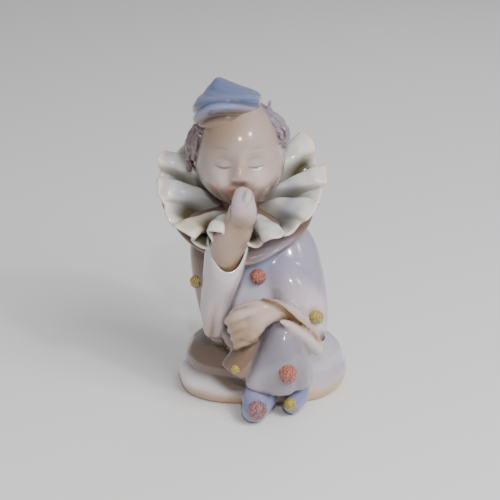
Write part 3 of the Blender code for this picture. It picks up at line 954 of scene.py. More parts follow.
def left_hand_forms():
    """The forearm and the resting hand, laid across the knees with the fingers to the left."""
    palm = [
        (22, -23.5, 47.5, 4.4, 4.4),
        (13, -30.6, 54.8, 5.4, 4.6),
        (5, -34.8, 55.2, 7.4, 4.8),
        (-1, -35.8, 52, 9.2, 4.6),
        (-4.5, -35.8, 49, 9.4, 4.2),
    ]
    forms = [limb(palm, 50, 80, broad=(0.2, 0.3, 1))]
    for finger in range(4):
        spread = finger / 3
        start = np.array((-1.0 + 2.6 * spread, -36.8 + 0.6 * spread, 57.0 - 14.0 * spread))
        knuckle = start + (-3.4, -1.6, -0.6)
        middle = start + (-7.4, -1.2, -2.6)
        tip = start + (-9.9 + 1.2 * spread, 1.4, -5.6)
        thick = 2.75 - 0.35 * spread
        ends = zip((start, knuckle, middle, tip), (0.95, 1.05, 0.98, 0.82))
        stations = [(*place, thick * size, thick * size) for place, size in ends]
        forms.append(limb(stations, 30, 36, broad=(0, 0.3, 1)))
    thumb = [(3, -36.5, 58.0, 2.6, 2.6), (-2, -38.6, 57.4, 2.4, 2.3), (-5.6, -38.4, 55.6, 2.0, 2.0)]
    forms.append(limb(thumb, 24, 32))
    shade = []
    for rings in forms:
        # Painted shade brown on the fingers, and painted light on the top of the hand.
        fingers = (1 - step_up(rings[..., 0], -2, 9)) * (1 - step_up(rings[..., 2], 49, 58))
        low = 1 - step_up(rings[..., 2], 40, 56)
        tint = mixed(colour("skin") * 1.35, colour("skin"), low)
        tint = mixed(tint, colour("clay") * 0.85, 0.95 * fingers)
        # Painted shade where the wrist goes into the cuff.
        inner = mixed(colour("clay"), colour("shade"), 0.2)
        shade.append(mixed(tint, inner, 0.9 * step_up(rings[..., 0], 12, 17)))
    return list(zip(forms, shade))


class CLOWN_OT_hands(Operator):
    """Builds the raised hand at the lips and the hand that rests on the knees"""

    bl_idname = "clown.hands"
    bl_label = "Hands"

    def execute(self, context):
        material = glaze("hand_glaze", WARM_POOL_SHADE)
        pairs = (("raised_hand", raised_hand_forms(), 7), ("resting_hand", left_hand_forms(), 16))
        for name, forms, smooth in pairs:
            made = piece(name, forms)
            luted(made, sizes().hand_voxel, smooth, 12)
            pooled(made, reach=0.0012)
            fired(made, material)
        return {"FINISHED"}


# the shoes

def shoe_forms():
    """The soft shoes: the one in front points down and out, the other turns in behind it."""
    front = [(6, -24, 9.5, 8.0, 6.4), (4.0, -34, 9.2, 8.8, 7.0), (1.6, -42.5, 5.9, 6.0, 5.2)]
    rear = [(23.5, -22, 8.5, 6.0, 5.6), (23, -29, 8.0, 6.0, 5.6), (20.5, -34.5, 5.9, 4.8, 4.8)]
    forms = []
    for stations, broad in ((front, (1, 0, 0)), (rear, (1, 1, 0))):
        rings = limb(stations, 40, 70, broad)
        rings[..., 2] = np.maximum(rings[..., 2], 0.6)
        # Painted light: white high on the shoes.
        top = 0.25 * bump(rings[..., 2] - 16, 3)
        forms.append((rings, mixed(colour("shoes"), colour("white"), top)))
    return forms


class CLOWN_OT_shoes(Operator):
    """Builds the two soft shoes"""

    bl_idname = "clown.shoes"
    bl_label = "Shoes"

    def execute(self, context):
        made = piece("shoes", shoe_forms())
        luted(made, sizes().hand_voxel * 1.2, 5, 8)
        pooled(made)
        fired(made, glaze("shoe_glaze", COOL_POOL_SHADE))
        return {"FINISHED"}


# the head

HEAD_CENTRE = np.array((-5.5, -3.5, 126.6))
HEAD_HALF = np.array((19.8, 21.0, 26.8))


def face_relief(x, z):
    """How far a calm child's face stands out from the ball of the head, as a sum of soft hills.

    x and z are measured from the head's middle. Features are on the halves and thirds of the face.
    """
    aside = np.abs(x)
    proud = 3.6 * bump(np.hypot(aside - 9.8, z + 10.0), 6.4)
    proud += 1.1 * bump(np.hypot(x * 0.45, z - 11), 8.0)
    proud += 2.4 * bump(np.hypot(x, (z + 20.5) * 0.9), 4.6)
    proud -= 2.2 * bump(np.hypot((aside - 7.8) * 0.72, z - 0.8), 4.2)
    proud += 1.6 * bump(np.hypot((aside - 7.9) * 0.78, (z - 0.4) * 1.25), 3.0)
    proud += 3.3 * np.exp(-((np.hypot(x, (z + 5.4) * 0.95) / 3.7) ** 3))
    proud += 1.4 * bump(np.hypot(x * 1.4, z - 0.5), 4.4)
    proud += 1.2 * bump(np.hypot(aside - 3.4, (z + 6.2) * 1.1), 1.5)
    proud -= 0.8 * bump(np.hypot(aside - 1.6, (z + 9.2) * 1.3), 0.9)
    proud += 0.8 * bump(np.hypot(x * 0.5, z + 13.2), 3.0)
    lip = np.clip(1 - (x / 5.7) ** 2, 0, 1)
    proud += 0.6 * lip * bump(z + 12.1 + 0.10 * aside, 1.05)
    proud += 0.7 * lip * bump(z + 14.9 - 0.12 * aside, 1.25)
    proud -= 0.7 * lip * bump(z + 13.4 + 0.5 * bump(x, 1.4), 0.7)
    proud -= 0.4 * bump(np.hypot(x * 1.2, z + 9.6), 1.2)
    lid = np.clip(1 - ((aside - 7.9) / 4.2) ** 2, 0, 1)
    proud -= 0.55 * np.sqrt(lid) * bump(z + 1.6 - 1.1 * (1 - lid), 0.55)
    proud -= 0.30 * np.sqrt(lid) * bump(z - 2.9 + 1.2 * (1 - lid), 0.7)
    return proud


def head_form():
    """A ball of latitude and longitude, crowded towards the face, with the relief pushed forward."""
    rings, sides = 230, 260
    rise = np.linspace(-1, 1, rings + 2)[1:-1, None] * math.pi / 2
    around = turns(sides)
    around = (around - 0.30 * np.cos(around))[None, :]
    ball_x = np.cos(rise) * np.cos(around) * HEAD_HALF[0]
    y = np.cos(rise) * np.sin(around) * HEAD_HALF[1]
    z = np.sin(rise) * HEAD_HALF[2]
    x = ball_x * (1 + 0.15 * bump(z + 11, 10))
    front = step_up(-y / HEAD_HALF[1], 0.05, 0.75)
    y = y - face_relief(x, z) * front
    aside = np.abs(x)
    # Painted light: a little white towards the top of the face.
    tint = mixed(colour("skin"), colour("white"), 0.08 * bump(z - 14, 12) * front)
    cheek = bump(np.hypot(aside - 10, z + 8.5), 5.5)
    tip = bump(np.hypot(x, z + 5.5), 3.0)
    # Painted light: white on the upper cheeks.
    tint = mixed(tint, colour("white"), 0.45 * front * bump(np.hypot(aside - 9.5, z + 6.0), 5.5))
    tint = mixed(tint, colour("blush"), front * np.clip(0.30 * cheek + 0.35 * tip, 0, 1))
    # Painted shadow under the hat's edge on the viewer's left, and painted shade under the chin.
    under_hat = step_up(z - 0.35 * x, 6, 19) * (1 - step_up(x, -6, 9))
    under_chin = (1 - step_up(z, -24, -12)) * (1 - 0.5 * front * bump(x, 6))
    tint = mixed(tint, colour("clay") * 0.72, 0.8 * under_hat)
    tint = mixed(tint, colour("clay"), 0.15 * under_chin)
    lip = np.clip(1 - (x / 5.5) ** 2, 0, 1)
    mouth = np.sqrt(lip) * (bump(z + 12.2 + 0.10 * aside, 1.1) + bump(z + 14.8 - 0.12 * aside, 1.2))
    tint = mixed(tint, colour("lips"), np.clip(0.9 * mouth, 0, 1) * front)
    lid = np.clip(1 - ((aside - 7.9) / 4.0) ** 2, 0, 1)
    lash = np.sqrt(lid) * bump(z + 1.7 - 1.1 * (1 - lid), 0.36)
    brow_end = np.clip(1 - ((aside - 8.2) / 4.6) ** 2, 0, 1)
    brow = brow_end * bump(z - 8.2 + 1.5 * (1 - brow_end), 0.55)
    tint = mixed(tint, colour("hair") * 0.45, np.clip(0.9 * lash, 0, 1) * front)
    tint = mixed(tint, colour("hair"), np.clip(0.45 * brow, 0, 1) * front)
    return HEAD_CENTRE + grid(x, y, z), tint


def ear_forms():
    """Small ears low on the sides of the head: a squashed ball with a dished front."""
    forms = []
    for side in (-1, 1):
        centre = HEAD_CENTRE + (side * HEAD_HALF[0] * 1.04, 3.0 + 2.0 * side, -4.0)
        rings = ball(centre, 4.2, 40, 60, (0.5, 0.75, 1.1))
        dish = bump(np.linalg.norm(rings - centre - (side * 1.6, -2.2, 0.3), axis=2), 2.0)
        rings[..., 0] -= side * 1.1 * dish
        forms.append((rings, mixed(colour("skin"), colour("blush"), 0.5 * dish)))
    return forms


def neck_form():
    """A short neck hidden by the collar."""
    stations = [(-5.5, 4, 88, 10, 10), (-5.5, 2, 98, 9, 9), (-5.5, 0, 110, 9.5, 9.5)]
    rings = limb(stations, 20, 60)
    return rings, colour("blush") * 0.8


class CLOWN_OT_head(Operator):
    """Builds the head with a plain calm child's face, the ears and the neck"""

    bl_idname = "clown.head"
    bl_label = "Head"

    def execute(self, context):
        made = piece("head", [head_form()] + ear_forms() + [neck_form()])
        thumbed(made, [(HEAD_CENTRE - (0, HEAD_HALF[1], 12), 9)], rounds=22)
        pooled(made, reach=0.003, rounds=(4, 60))
        fired(made, glaze("face_glaze", WARM_POOL_SHADE, 0.75, coat_roughness=0.13))
        return {"FINISHED"}


# the hair

def curl_form(root, lean, turns_made, radius, fall, seed):
    """One strand: a helix that falls from its root, round an axis that leans outwards.

    x, y and z are the axis plus radius times the cosine and sine of the turn. The strand tapers
    to its tip and carries fine ridges along it.
    """
    share = np.linspace(0, 1, 34)[:, None]
    turn = FULL_TURN * turns_made * share + seed
    coil = radius * np.sin(math.pi * (0.25 + 0.7 * share))
    side = unit(np.cross(fall, (0, 0, 1.0)) + 1e-6)
    path = root + share * fall + coil * (np.cos(turn) * side + np.sin(turn) * unit(lean))
    thick = sizes().curl_thickness / SHARE * (1.1 - 0.55 * share)
    stations = np.hstack([path, thick, thick * 0.8])

    def ridges(angle, along):
        return 1 + 0.10 * np.cos(4 * angle + 9 * along)

    return limb(stations, 48, 16, (0.2, 1, 0.3), swell=ridges, domes=2)


def above_frill(points):
    """How far points stand above the frill's ridges, measured square to its tilted middle plane."""
    x, y, z = axes(points - COLLAR_CENTRE)
    flat = y * math.cos(FRILL_TILT) + z * math.sin(FRILL_TILT)
    lift = z * math.cos(FRILL_TILT) - y * math.sin(FRILL_TILT)
    part = np.clip((np.hypot(x, flat) - 7) / 32, 0, 1)
    return lift - 15 * part**0.75 - 6.5


def hair_forms():
    """The soft mass behind the face, and rows of strands over it beside the face and behind."""
    angle = turns(160)[None, :]
    rise = np.linspace(-1, 1, 92)[1:-1, None] * math.pi / 2
    tufts = 1 + 0.035 * np.cos(17 * angle + 2.5 * np.sin(9 * rise)) * np.cos(rise)
    tufts = tufts + 0.02 * np.sin(13 * rise + 5 * np.sin(4 * angle))
    half = HEAD_HALF * (1.05, 0.86, 0.86)
    level = tufts * np.cos(rise)
    centre = HEAD_CENTRE + (-1.0, 6.5, 3.4)
    mass = centre + half * grid(level * np.cos(angle), level * np.sin(angle), np.sin(rise))
    draws = np.random.default_rng(7)
    pushed = np.clip(-above_frill(mass), 0, None)[..., None]
    forms = [(mass + pushed * (0, -math.sin(FRILL_TILT), math.cos(FRILL_TILT)), colour("hair"))]
    for row in range(7):
        height = 14 - 5.2 * row
        for place in range(17):
            around = math.radians(-22 + 224 * (place + 0.5 * (row % 2)) / 16)
            if around < 0.25:
                continue
            level = math.sqrt(max(1 - (height / half[2]) ** 2, 0.1))
            out = np.array((math.cos(around), math.sin(around), 0.25 * height / half[2]))
            root = centre + out * half * level * (0.98, 0.98, 0) + (0, 0, height)
            fall = out * draws.uniform(0.5, 2.0) + (0, 0, -draws.uniform(4.5, 7.5))
            rings = curl_form(root, out, draws.uniform(0.8, 1.5), draws.uniform(0.9, 1.7), fall,
                              draws.uniform(0, FULL_TURN))
            tint = colour("hair") * draws.uniform(0.85, 1.25)
            under_hat = row == 0 and root[0] < 4
            if above_frill(rings).min() > 0 and not under_hat:
                forms.append((rings, tint))
    return forms


def tuft_forms():
    """The loose curls that stand out on the viewer's right, a spike, and the locks on the left."""
    locks = [
        [(4.6, -4.0, 146, 1.5, 1.3), (8.0, -5.6, 144.5, 1.9, 1.6), (11.6, -6.4, 141, 2.1, 1.8),
         (13.6, -6, 136.5, 1.7, 1.5)],
        [(5.4, -1.5, 147, 1.5, 1.3), (10, -3.5, 145.5, 1.9, 1.6), (14.0, -4.6, 142.0, 2.1, 1.9),
         (16.2, -5.0, 137.5, 1.7, 1.5)],
        [(7.2, -1.0, 145, 1.6, 1.5), (8.4, -1.0, 148.2, 1.1, 1.0), (9.2, -1.0, 151.2, 0.6, 0.6)],
        [(13.8, -5.0, 141.5, 1.6, 1.5), (16.8, -5.8, 138.6, 1.6, 1.5), (17.0, -6.6, 134.8, 1.5, 1.4),
         (14.4, -6.8, 132.8, 1.3, 1.2), (12.4, -6.6, 134.6, 1.0, 1.0)],
        [(12.0, -6.6, 139.5, 1.2, 1.2), (14.2, -7.2, 137.6, 1.2, 1.2), (14.6, -7.4, 135.2, 1.0, 1.0)],
        [(-23, -3, 139, 2.2, 2.4), (-26.6, -4.5, 132, 2.2, 2.4), (-27.4, -4, 124, 1.6, 1.8)],
        [(-24, 2, 140, 2.6, 2.6), (-29, 0, 132, 2.4, 2.6), (-30, -1, 123, 1.8, 2.0)],
        [(-25, 5, 136, 2.4, 2.6), (-30.5, 3, 126, 2.2, 2.4), (-30, 0, 117, 1.5, 1.6)],
    ]

    def ridges(angle, along):
        return 1 + 0.09 * np.cos(5 * angle + 10 * along) + 0.05 * np.sin(30 * along + angle)

    forms = []
    for number, stations in enumerate(locks):
        rings = limb(stations, 48, 36, swell=ridges, domes=3)
        right = rings[..., 0].mean() > 0
        tint = mixed(colour("hair"), colour("lavender"), 0.35 + 0.1 * (number % 3))
        forms.append((rings, tint if right else colour("hair") * 0.9))
    return forms


class CLOWN_OT_hair(Operator):
    """Builds the curly hair under the hat"""

    bl_idname = "clown.hair"
    bl_label = "Hair"

    def execute(self, context):
        made = piece("hair", hair_forms() + tuft_forms())
        pooled(made, rounds=(2, 12))
        fired(made, glaze("hair_glaze", (0.45, 0.36, 0.38), 1.0, 0.0))
        return {"FINISHED"}


# the hat

HAT_CENTRE = np.array((-11.8, 0.5, 145.5))


def hat_form():
    """A soft pointed hat: a beige band on the brow, and a crown that leans to the viewer's left.

    A fat roll swells between them, from the left round to the front, over an undercut.
    """
    stations = [
        (-6.2, 0.3, 0.5, 13.5, 15.5, 0.10),
        (-5.4, 0.3, 0.5, 15.6, 17.8, 0.12),
        (-3.4, 0.3, 0.5, 16.4, 18.6, 0.20),
        (-1.2, 0.2, 0.5, 16.3, 18.4, 0.30),
        (0.2, 0.2, 0.5, 16.5, 18.6, 0.36),
        (2.0, 0.2, 0.5, 16.7, 18.8, 0.38),
        (4.0, 0.5, 0.6, 16.2, 17.4, 0.38),
        (5.4, 0.8, 0.8, 15.7, 16.2, 0.36),
        (7.4, 1.5, 0.9, 14.9, 14.4, 0.30),
        (9.4, 1.9, 0.9, 13.4, 12.2, 0.22),
        (11.2, 1.1, 0.8, 10.9, 9.8, 0.16),
        (13.2, -0.9, 0.7, 7.4, 7.2, 0.10),
        (15.3, -2.7, 0.6, 3.9, 4.0, 0.05),
        (16.9, -3.5, 0.5, 1.4, 1.4, 0),
    ]
    last = len(stations) - 1
    rings, sides = 150, 200
    angle = turns(sides)[None, :]
    rise = np.linspace(0, last, rings)[:, None]
    place = rise + 2.6 * bump(angle - math.pi, 0.8)
    around = bump(angle - 1.40 * math.pi, 0.95)
    roll = around * bump(place - 4.3, 0.9)
    under = around * bump(place - 3.0, 0.45)
    groove = (0.5 + 0.5 * around) * bump(place - 5.6, 0.5)
    shoulder = bump(rise - 9.0, 1.2) * (bump(angle, 0.6) + bump(angle - FULL_TURN, 0.6))

    def slump(angle, _):
        soft = 0.02 * np.sin(4 * angle + 2.6 * rise) * step_up(rise, 6.5, 8.5)
        return 1 + 0.12 * roll - 0.05 * under - 0.05 * groove + 0.05 * shoulder + soft

    form = HAT_CENTRE + stacked(stations, rings, sides, slump)
    # The band is beige, darkened as painted shade under the roll.
    band = mixed(colour("clay") * 0.8, colour("cape"), 0.5 + 0.3 * step_up(angle, 4.2, 5.2))
    tint = mixed(band, colour("skin"), (1 - around) * step_up(angle, 5.0, 5.7) * step_up(rise, -1, 1))
    # Painted shadow: a dark line under the roll.
    tint = mixed(tint, colour("cape") * 0.35, around * bump(place - 2.9, 0.42))
    tint = mixed(tint, colour("roll"), around * step_up(place, 3.15, 3.7))
    crown = step_up(place + 1.4 * (1 - around), 5.2, 6.0)
    # Painted light: a lighter band high on the crown.
    blue = mixed(colour("hat"), colour("roll"), 0.40 * bump(place - 7.8, 0.8))
    # Painted shade in the groove over the roll.
    blue = mixed(blue, colour("hat") * 0.55, 0.9 * bump(place - 5.6, 0.5))
    # Painted shade: darker patches at the front right and on the left side.
    hat_shade = bump(angle - 5.3, 0.5) * bump(place - 5.4, 1.5)
    hat_shade = hat_shade + 0.7 * bump(angle - 3.3, 0.5) * bump(rise - 4.0, 1.8)
    blue = mixed(blue, colour("hat") * 0.55, np.clip(0.9 * hat_shade, 0, 1))
    return form, mixed(tint, blue, crown)


class CLOWN_OT_hat(Operator):
    """Builds the soft blue hat"""

    bl_idname = "clown.hat"
    bl_label = "Hat"

    def execute(self, context):
        made = piece("hat", [hat_form()])
        pooled(made, rounds=(6, 50))
        fired(made, glaze("hat_glaze", COOL_POOL_SHADE))
        return {"FINISHED"}


# the collar

COLLAR_CENTRE = np.array((-5.5, 4.0, 98.0))
FRILL_TILT = math.radians(37)
FRILL_RIDGES = (8, 38, 70, 100, 130, 158, 182, 227, 250, 268, 298, 337)     # degrees
RIDGE_REACH = (42.0, 43.5, 42.0, 39.0, 36.5, 42.0, 40.0, 38.3, 31.5, 29.0, 36.5, 39.5)
VALLEYS = (24, 54, 85, 115, 144, 170, 200, 239, 259, 283, 315, 354)         # degrees
VALLEY_REACH = (41.5, 41.0, 40.5, 37.0, 39.0, 39.0, 38.0, 34.0, 29.5, 30.0, 33.0, 39.5)
VALLEY_DEPTH = (1.0, 0.7, 0.7, 0.7, 0.8, 0.9, 1.0, 1.4, 0.8, 1.1, 1.0, 0.9)
RIM_DEPTH = (1.0, 0.7, 0.7, 0.7, 0.8, 0.6, 0.15, 1.3, 0.8, 1.0, 0.55, 0.15)
# Strength and place of each valley's darkening: pooled glaze and painted shade.
VALLEY_SHADE = (1.0, 0.3, 0.3, 0.3, 1.0, 0.3, 0.9, 1.0, 0.5, 0.9, 0.8, 0.8)
VALLEY_SHADE_PLACE = (0.80, 0.6, 0.6, 0.6, 0.75, 0.6, 0.62, 0.65, 0.6, 0.70, 0.62, 0.45)
LOOP_ANGLE = math.radians(231)
LOBE_ANGLE = math.radians(250)
EDGE_RINGS = 7              # of the half round that joins a collar's two sides
COLLAR_HOLE = 7.0           # radius of a collar's hole at the neck


def fold_phase(angle):
    """The frill's phase: a quarter turn past a whole number of turns at each ridge."""
    count = len(FRILL_RIDGES)
    phases = FULL_TURN * np.arange(count) + math.pi / 2
    return round_values(angle, FRILL_RIDGES, phases, 0.09, FULL_TURN * count)


def collar_sheet(outer, fall, tilt, thickness, bands, sides):
    """A closed sheet round the neck, as rings that run out along its top and back underneath.

    outer(angle) is its reach. fall(angle, part) is how far it stands above the neck and how far
    it slides round it, with part running from 0 at the neck to 1 at the edge. Both sides lie half
    the thickness off that middle surface, along its normal, and a half round joins them.
    """
    part = np.linspace(0, 1, bands)[:, None]
    angle = turns(sides)[None, :]
    reach = COLLAR_HOLE + (outer(angle) - COLLAR_HOLE) * part
    lift, slide = fall(angle, part)
    swung = angle + slide / reach
    middle = grid(reach * np.cos(swung), reach * np.sin(swung), lift)
    out = np.gradient(middle, axis=0)
    along = np.roll(middle, -1, axis=1) - np.roll(middle, 1, axis=1)
    normal = unit(np.cross(out, along))
    half = thickness / SHARE / 2
    edge = [
        middle[-1] + half * (math.sin(turn) * unit(out[-1]) + math.cos(turn) * normal[-1])
        for turn in np.linspace(0, math.pi, EDGE_RINGS + 2)[1:-1]
    ]
    rings = np.concatenate([middle + normal * half, edge, (middle - normal * half)[::-1]])
    x, y, z = axes(rings)
    tilted_y = y * math.cos(tilt) - z * math.sin(tilt)
    tilted_z = y * math.sin(tilt) + z * math.cos(tilt)
    share = np.concatenate([part, np.ones((EDGE_RINGS, 1)), part[::-1]])
    return COLLAR_CENTRE + grid(x, tilted_y, tilted_z), share


def frill_form():
    """The deep frill, a sheet in soft folds that start at the neck.

    A fold is the sine of the phase. Its hollows are deepest half way out, and run out at the edge
    by a share that differs from fold to fold, where the edge turns down a little.
    """
    edge_angles = FRILL_RIDGES + VALLEYS
    order = np.argsort(edge_angles)
    edge_degrees = np.array(edge_angles)[order]
    edge_reach = np.array(RIDGE_REACH + VALLEY_REACH)[order]

    def outer(angle):
        waver = 0.45 * np.sin(7 * angle) + 0.35 * np.sin(23 * angle + 1) + 0.2 * np.sin(41 * angle)
        return round_values(angle, edge_degrees, edge_reach, 0.07) + waver

    def fall(angle, part):
        waves = fold_phase(angle + 0.10 * (1 - part) * np.sin(3 * angle))
        height = sizes().fold_height / SHARE
        deep = round_values(angle, VALLEYS, VALLEY_DEPTH, 0.1)
        rim = round_values(angle, VALLEYS, RIM_DEPTH, 0.1)
        grow = step_up(part, 0.04, 0.42)
        late = step_up(part, 0.55, 1.0)
        ridge = 0.5 + 0.5 * np.sin(waves)
        hollow = (1 - ridge) ** 1.4
        fold = height * grow * (0.9 * ridge - 1.35 * hollow * (deep + (rim - deep) * late))
        loop = bump(np.remainder(angle, FULL_TURN) - math.radians(239), 0.14)
        curl = -2.2 * step_up(part, 0.80, 1.0) * ridge
        ripple = 0.38 * np.sin(29 * angle + 3 * np.sin(5 * angle)) * part**2
        ripple = ripple + 0.20 * np.sin(47 * angle + 9 * part) * part
        ripple = ripple + 0.34 * np.sin(20 * part + 3 * np.sin(9 * angle)) * part
        slide = -(1.4 + 2.4 * loop) * step_up(part, 0.3, 0.9) * np.sin(2 * waves)
        lobe = 3.6 * bump(np.remainder(angle, FULL_TURN) - LOBE_ANGLE, 0.13)
        lobe = lobe * step_up(part, 0.15, 0.6)
        hole = 3.6 * bump(angle - LOOP_ANGLE, 0.055) * bump(part - 0.66, 0.13)
        return 15.0 * part**0.75 + fold + lobe + curl + ripple - hole, slide

    sides = 840
    rings, share = collar_sheet(outer, fall, FRILL_TILT, sizes().frill_sheet, 56, sides)
    # Painted shade: brown on the inner part near the neck.
    tint = mixed(colour("cape"), colour("frill"), 0.5 + 0.5 * step_up(share, 0.18, 0.40))
    blue = np.sin(3 * np.arctan2(rings[..., 1], rings[..., 0]) + 5 * share) * bump(share - 0.6, 0.2)
    tint = mixed(tint, colour("roll"), 0.5 * np.clip(blue, 0, 1))
    angle = turns(sides)[None, :]
    # The valleys darken towards olive_shade: pooled glaze and painted shade.
    hollow = (0.5 - 0.5 * np.sin(fold_phase(angle))) ** 1.6
    strength = round_values(angle, VALLEYS, VALLEY_SHADE, 0.06)
    place = round_values(angle, VALLEYS, VALLEY_SHADE_PLACE, 0.06)
    valley_shade = hollow * strength * bump(share - place, 0.22)
    beige = bump(angle - math.radians(222), 0.28) * step_up(share, 0.3, 0.6)
    tint = mixed(tint, colour("clay"), 0.55 * beige)
    tint = mixed(tint, colour("olive_shade"), np.clip(1.45 * valley_shade, 0, 1))
    tint = mixed(tint, colour("white") * (1.0, 0.94, 0.82), 0.85 * step_up(share, 0.86, 1.0))
    # Painted shade in the hole of the loop fold.
    hole = bump(angle - LOOP_ANGLE, 0.075) * bump(share - 0.64, 0.17)
    return rings, mixed(tint, colour("olive_shade"), np.clip(1.3 * hole, 0, 1))


def cape_form():
    """The plain wide collar under the frill, lying on the shoulders, the back and the chest."""

    def outer(angle):
        right = bump(angle, 0.5) + bump(angle - FULL_TURN, 0.5)
        left = bump(angle - math.radians(215), 0.5)
        return 33.0 + 5.2 * np.cos(2 * angle) - 2.5 * right - 2.5 * left

    def fall(angle, part):
        front = np.clip(-np.sin(angle), 0, 1) ** 1.3
        back = np.clip(np.sin(angle), 0, 1)
        ripple = 0.9 * np.sin(6 * angle + 0.5)
        lift = part * (ripple - 20.5 * front - 8.0 * back) + 3.0 * part * (1 - part)
        return lift, 0.0

    rings = collar_sheet(outer, fall, 0.0, sizes().cape_sheet, 30, 300)[0]
    bluish = bump(rings[..., 0] - 11, 9) * step_up(-rings[..., 1], 5, 22)
    return rings, mixed(colour("cape"), colour("lavender"), 0.6 * bluish)


class CLOWN_OT_collar(Operator):
    """Builds the deep frill and the plain cape under it"""

    bl_idname = "clown.collar"
    bl_label = "Collar"

    def execute(self, context):
        frill = piece("frill", [frill_form()])
        pooled(frill, reach=0.002, rounds=(6, 90))
        fired(frill, glaze("frill_glaze", OLIVE_POOL_SHADE))
        cape = piece("cape", [cape_form()])
        pooled(cape)
        fired(cape, glaze("cape_glaze", WARM_POOL_SHADE))
        return {"FINISHED"}


# the pompoms

POMPOMS = (
    ("chest", (3.5, -21.5, 69), 4.0, "salmon"),
    ("leg", (18, -43.5, 27), 4.8, "salmon"),
    ("front_toe", (3.0, -45.0, 8.0), 4.9, "pink"),
    ("rear_toe", (19.5, -37.5, 7.2), 3.4, "lemon"),
    ("hem", (-7.4, -35.4, 25.4), 2.8, "lemon"),
    ("cuff", (32, -28.5, 50.5), 3.6, "lemon"),
    ("arm", (-27.0, -9, 61), 3.5, "lemon"),
)


def pompom_form(centre, radius, tint, seed):
    """A ball of clay crumbs: its radius grows by a small hill at each crumb, with painted shade in
    the gaps and pits.

    The crumbs' middles lie on a spiral of even steps in height, a golden angle apart.
    """
    crumbs = 190
    golden_angle = 2.39996
    draws = np.random.default_rng(seed)
    rise = np.linspace(-1, 1, crumbs)
    turn = np.arange(crumbs) * golden_angle + draws.uniform(-0.2, 0.2, crumbs)
    level = np.sqrt(1 - rise**2)
    heads = np.stack([level * np.cos(turn), level * np.sin(turn), rise], axis=1)
    rings = ball((0, 0, 0), 1.0, 84, 120)
    apart = np.arccos(np.clip(rings @ heads.T, -1, 1))
    size = draws.uniform(0.7, 1.1, crumbs)
    hills = (size * bump(apart, 0.12)).max(axis=2)
    pits = bump(apart[..., ::8], 0.085).max(axis=2)
    grown = radius * (0.92 + 0.10 * hills - 0.12 * pits)
    # Painted shade between the crumbs and painted light on them, painted shade towards the bottom, a
    # painted highlight on the crumbs' tops, and painted shade in the pits.
    shade = mixed(tint * 0.50, tint * 1.12, step_up(hills, 0.2, 0.8))
    shade = shade * (0.84 + 0.22 * rings[..., 2:])
    shade = mixed(shade, colour("white"), 0.12 * step_up(hills, 0.85, 1.1))
    shade = mixed(shade, tint * 0.12, 0.85 * step_up(pits, 0.4, 0.8))
    return np.asarray(centre, float) + rings * grown[..., None], shade


class CLOWN_OT_pompoms(Operator):
    """Builds the rough pompoms on the chest, the sleeves, the trousers and the toes"""

    bl_idname = "clown.pompoms"
    bl_label = "Pompoms"

    def execute(self, context):
        material = glaze("pompom_glaze", (0.45, 0.30, 0.22), 0.8, 0.0)
        for seed, (name, centre, radius, tint) in enumerate(POMPOMS):
            made = piece("pompom_" + name, [pompom_form(centre, radius, colour(tint), seed)])
            pooled(made, reach=0.0006, rounds=(2, 10))
            fired(made, material)
        return {"FINISHED"}


# the stage

def area_light(name, place, aim, size, power, tint):
    """A square soft light at a place, turned to a point."""
    lamp = bpy.data.lights.new(name, "AREA")
    lamp.shape = "RECTANGLE"
    lamp.size, lamp.size_y = size
    lamp.energy = power
    lamp.color = tint
    made = bpy.data.objects.new(name, lamp)
    made.location = place
    made.rotation_euler = (Vector(aim) - Vector(place)).to_track_quat("-Z", "Y").to_euler()
    bpy.context.scene.collection.objects.link(made)
    return made


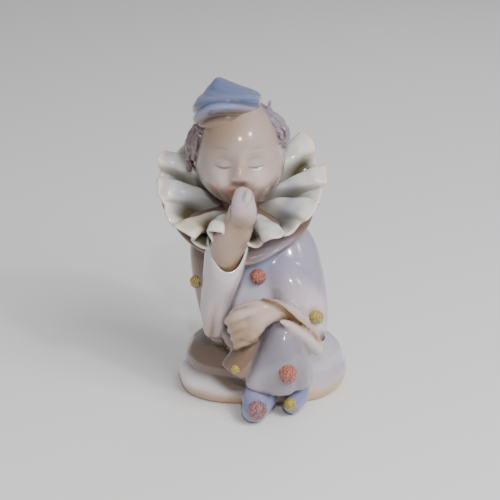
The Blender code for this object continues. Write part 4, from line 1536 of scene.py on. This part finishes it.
class CLOWN_OT_stage(Operator):
    """Sets the pale floor, the soft lights, the world and the camera"""

    bl_idname = "clown.stage"
    bl_label = "Stage"

    def execute(self, context):
        scene = context.scene
        stage = scene.clown_stage
        half = stage.floor
        corners = [(x, y, 0) for x, y in ((-half, -half), (half, -half), (half, half), (-half, half))]
        mesh = bpy.data.meshes.new("floor")
        mesh.from_pydata(corners, [], [(0, 1, 2, 3)])
        floor = bpy.data.objects.new("floor", mesh)
        scene.collection.objects.link(floor)
        pale = bpy.data.materials.new("pale_floor")
        pale.use_nodes = True
        shader = pale.node_tree.nodes["Principled BSDF"]
        shader.inputs["Base Color"].default_value = (0.86, 0.85, 0.84, 1)
        shader.inputs["Roughness"].default_value = 0.7
        mesh.materials.append(pale)

        world = bpy.data.worlds.new("studio")
        scene.world = world
        world.use_nodes = True
        sky = world.node_tree.nodes["Background"]
        sky.inputs["Color"].default_value = (0.95, 0.96, 1.0, 1)
        sky.inputs["Strength"].default_value = 0.42

        aim = (0.0, 0.0, 0.09)
        broad = area_light("key", (0.62, -0.62, 0.86), aim, (0.7, 0.7), 13.0, (1.0, 0.98, 0.97))
        broad.visible_glossy = False
        area_light("spark", (0.62, -0.62, 0.86), aim, (0.07, 0.07), 2.4, (1.0, 0.99, 0.98))
        area_light("window", (0.03, -0.72, 0.62), aim, (0.06, 0.05), 2.2, (1.0, 1.0, 1.0))
        behind = area_light("rim", (0.3, 0.8, 0.7), aim, (0.3, 0.3), 1.2, (0.92, 0.95, 1.0))
        behind.visible_glossy = False

        target = Vector((stage.aim_right, 0.0, stage.aim_height))
        back = Vector((0.0, -math.cos(stage.elevation), math.sin(stage.elevation)))
        lens = bpy.data.cameras.new("camera")
        lens.sensor_width = 36.0
        lens.lens = lens.sensor_width * stage.distance / stage.view_width
        camera = bpy.data.objects.new("camera", lens)
        camera.location = target + back * stage.distance
        camera.rotation_euler = (-back).to_track_quat("-Z", "Y").to_euler()
        scene.collection.objects.link(camera)
        scene.camera = camera
        return {"FINISHED"}


class CLOWN_PT_figurine(Panel):
    """Lists the steps in the sidebar"""

    bl_idname = "CLOWN_PT_figurine"
    bl_label = "Porcelain clown"
    bl_space_type = "VIEW_3D"
    bl_region_type = "UI"
    bl_category = "Clown"

    def draw(self, context):
        for step in STEPS:
            self.layout.operator(step.bl_idname)


STEPS = (
    CLOWN_OT_rock, CLOWN_OT_clothes, CLOWN_OT_hands, CLOWN_OT_shoes, CLOWN_OT_head, CLOWN_OT_hair,
    CLOWN_OT_hat, CLOWN_OT_collar, CLOWN_OT_pompoms, CLOWN_OT_stage,
)
GROUPS = (
    ("clown_sizes", ClownSizes),
    ("clown_colours", ClownColours),
    ("clown_stage", ClownStage),
)


def register():
    for name, group in GROUPS:
        bpy.utils.register_class(group)
        setattr(bpy.types.Scene, name, PointerProperty(type=group))
    for step in STEPS:
        bpy.utils.register_class(step)
    bpy.utils.register_class(CLOWN_PT_figurine)


def unregister():
    bpy.utils.unregister_class(CLOWN_PT_figurine)
    for step in reversed(STEPS):
        bpy.utils.unregister_class(step)
    for name, group in reversed(GROUPS):
        delattr(bpy.types.Scene, name)
        bpy.utils.unregister_class(group)


def main():
    register()
    for step in STEPS:
        section, action = step.bl_idname.split(".")
        getattr(getattr(bpy.ops, section), action)()


if __name__ == "__main__":
    main()
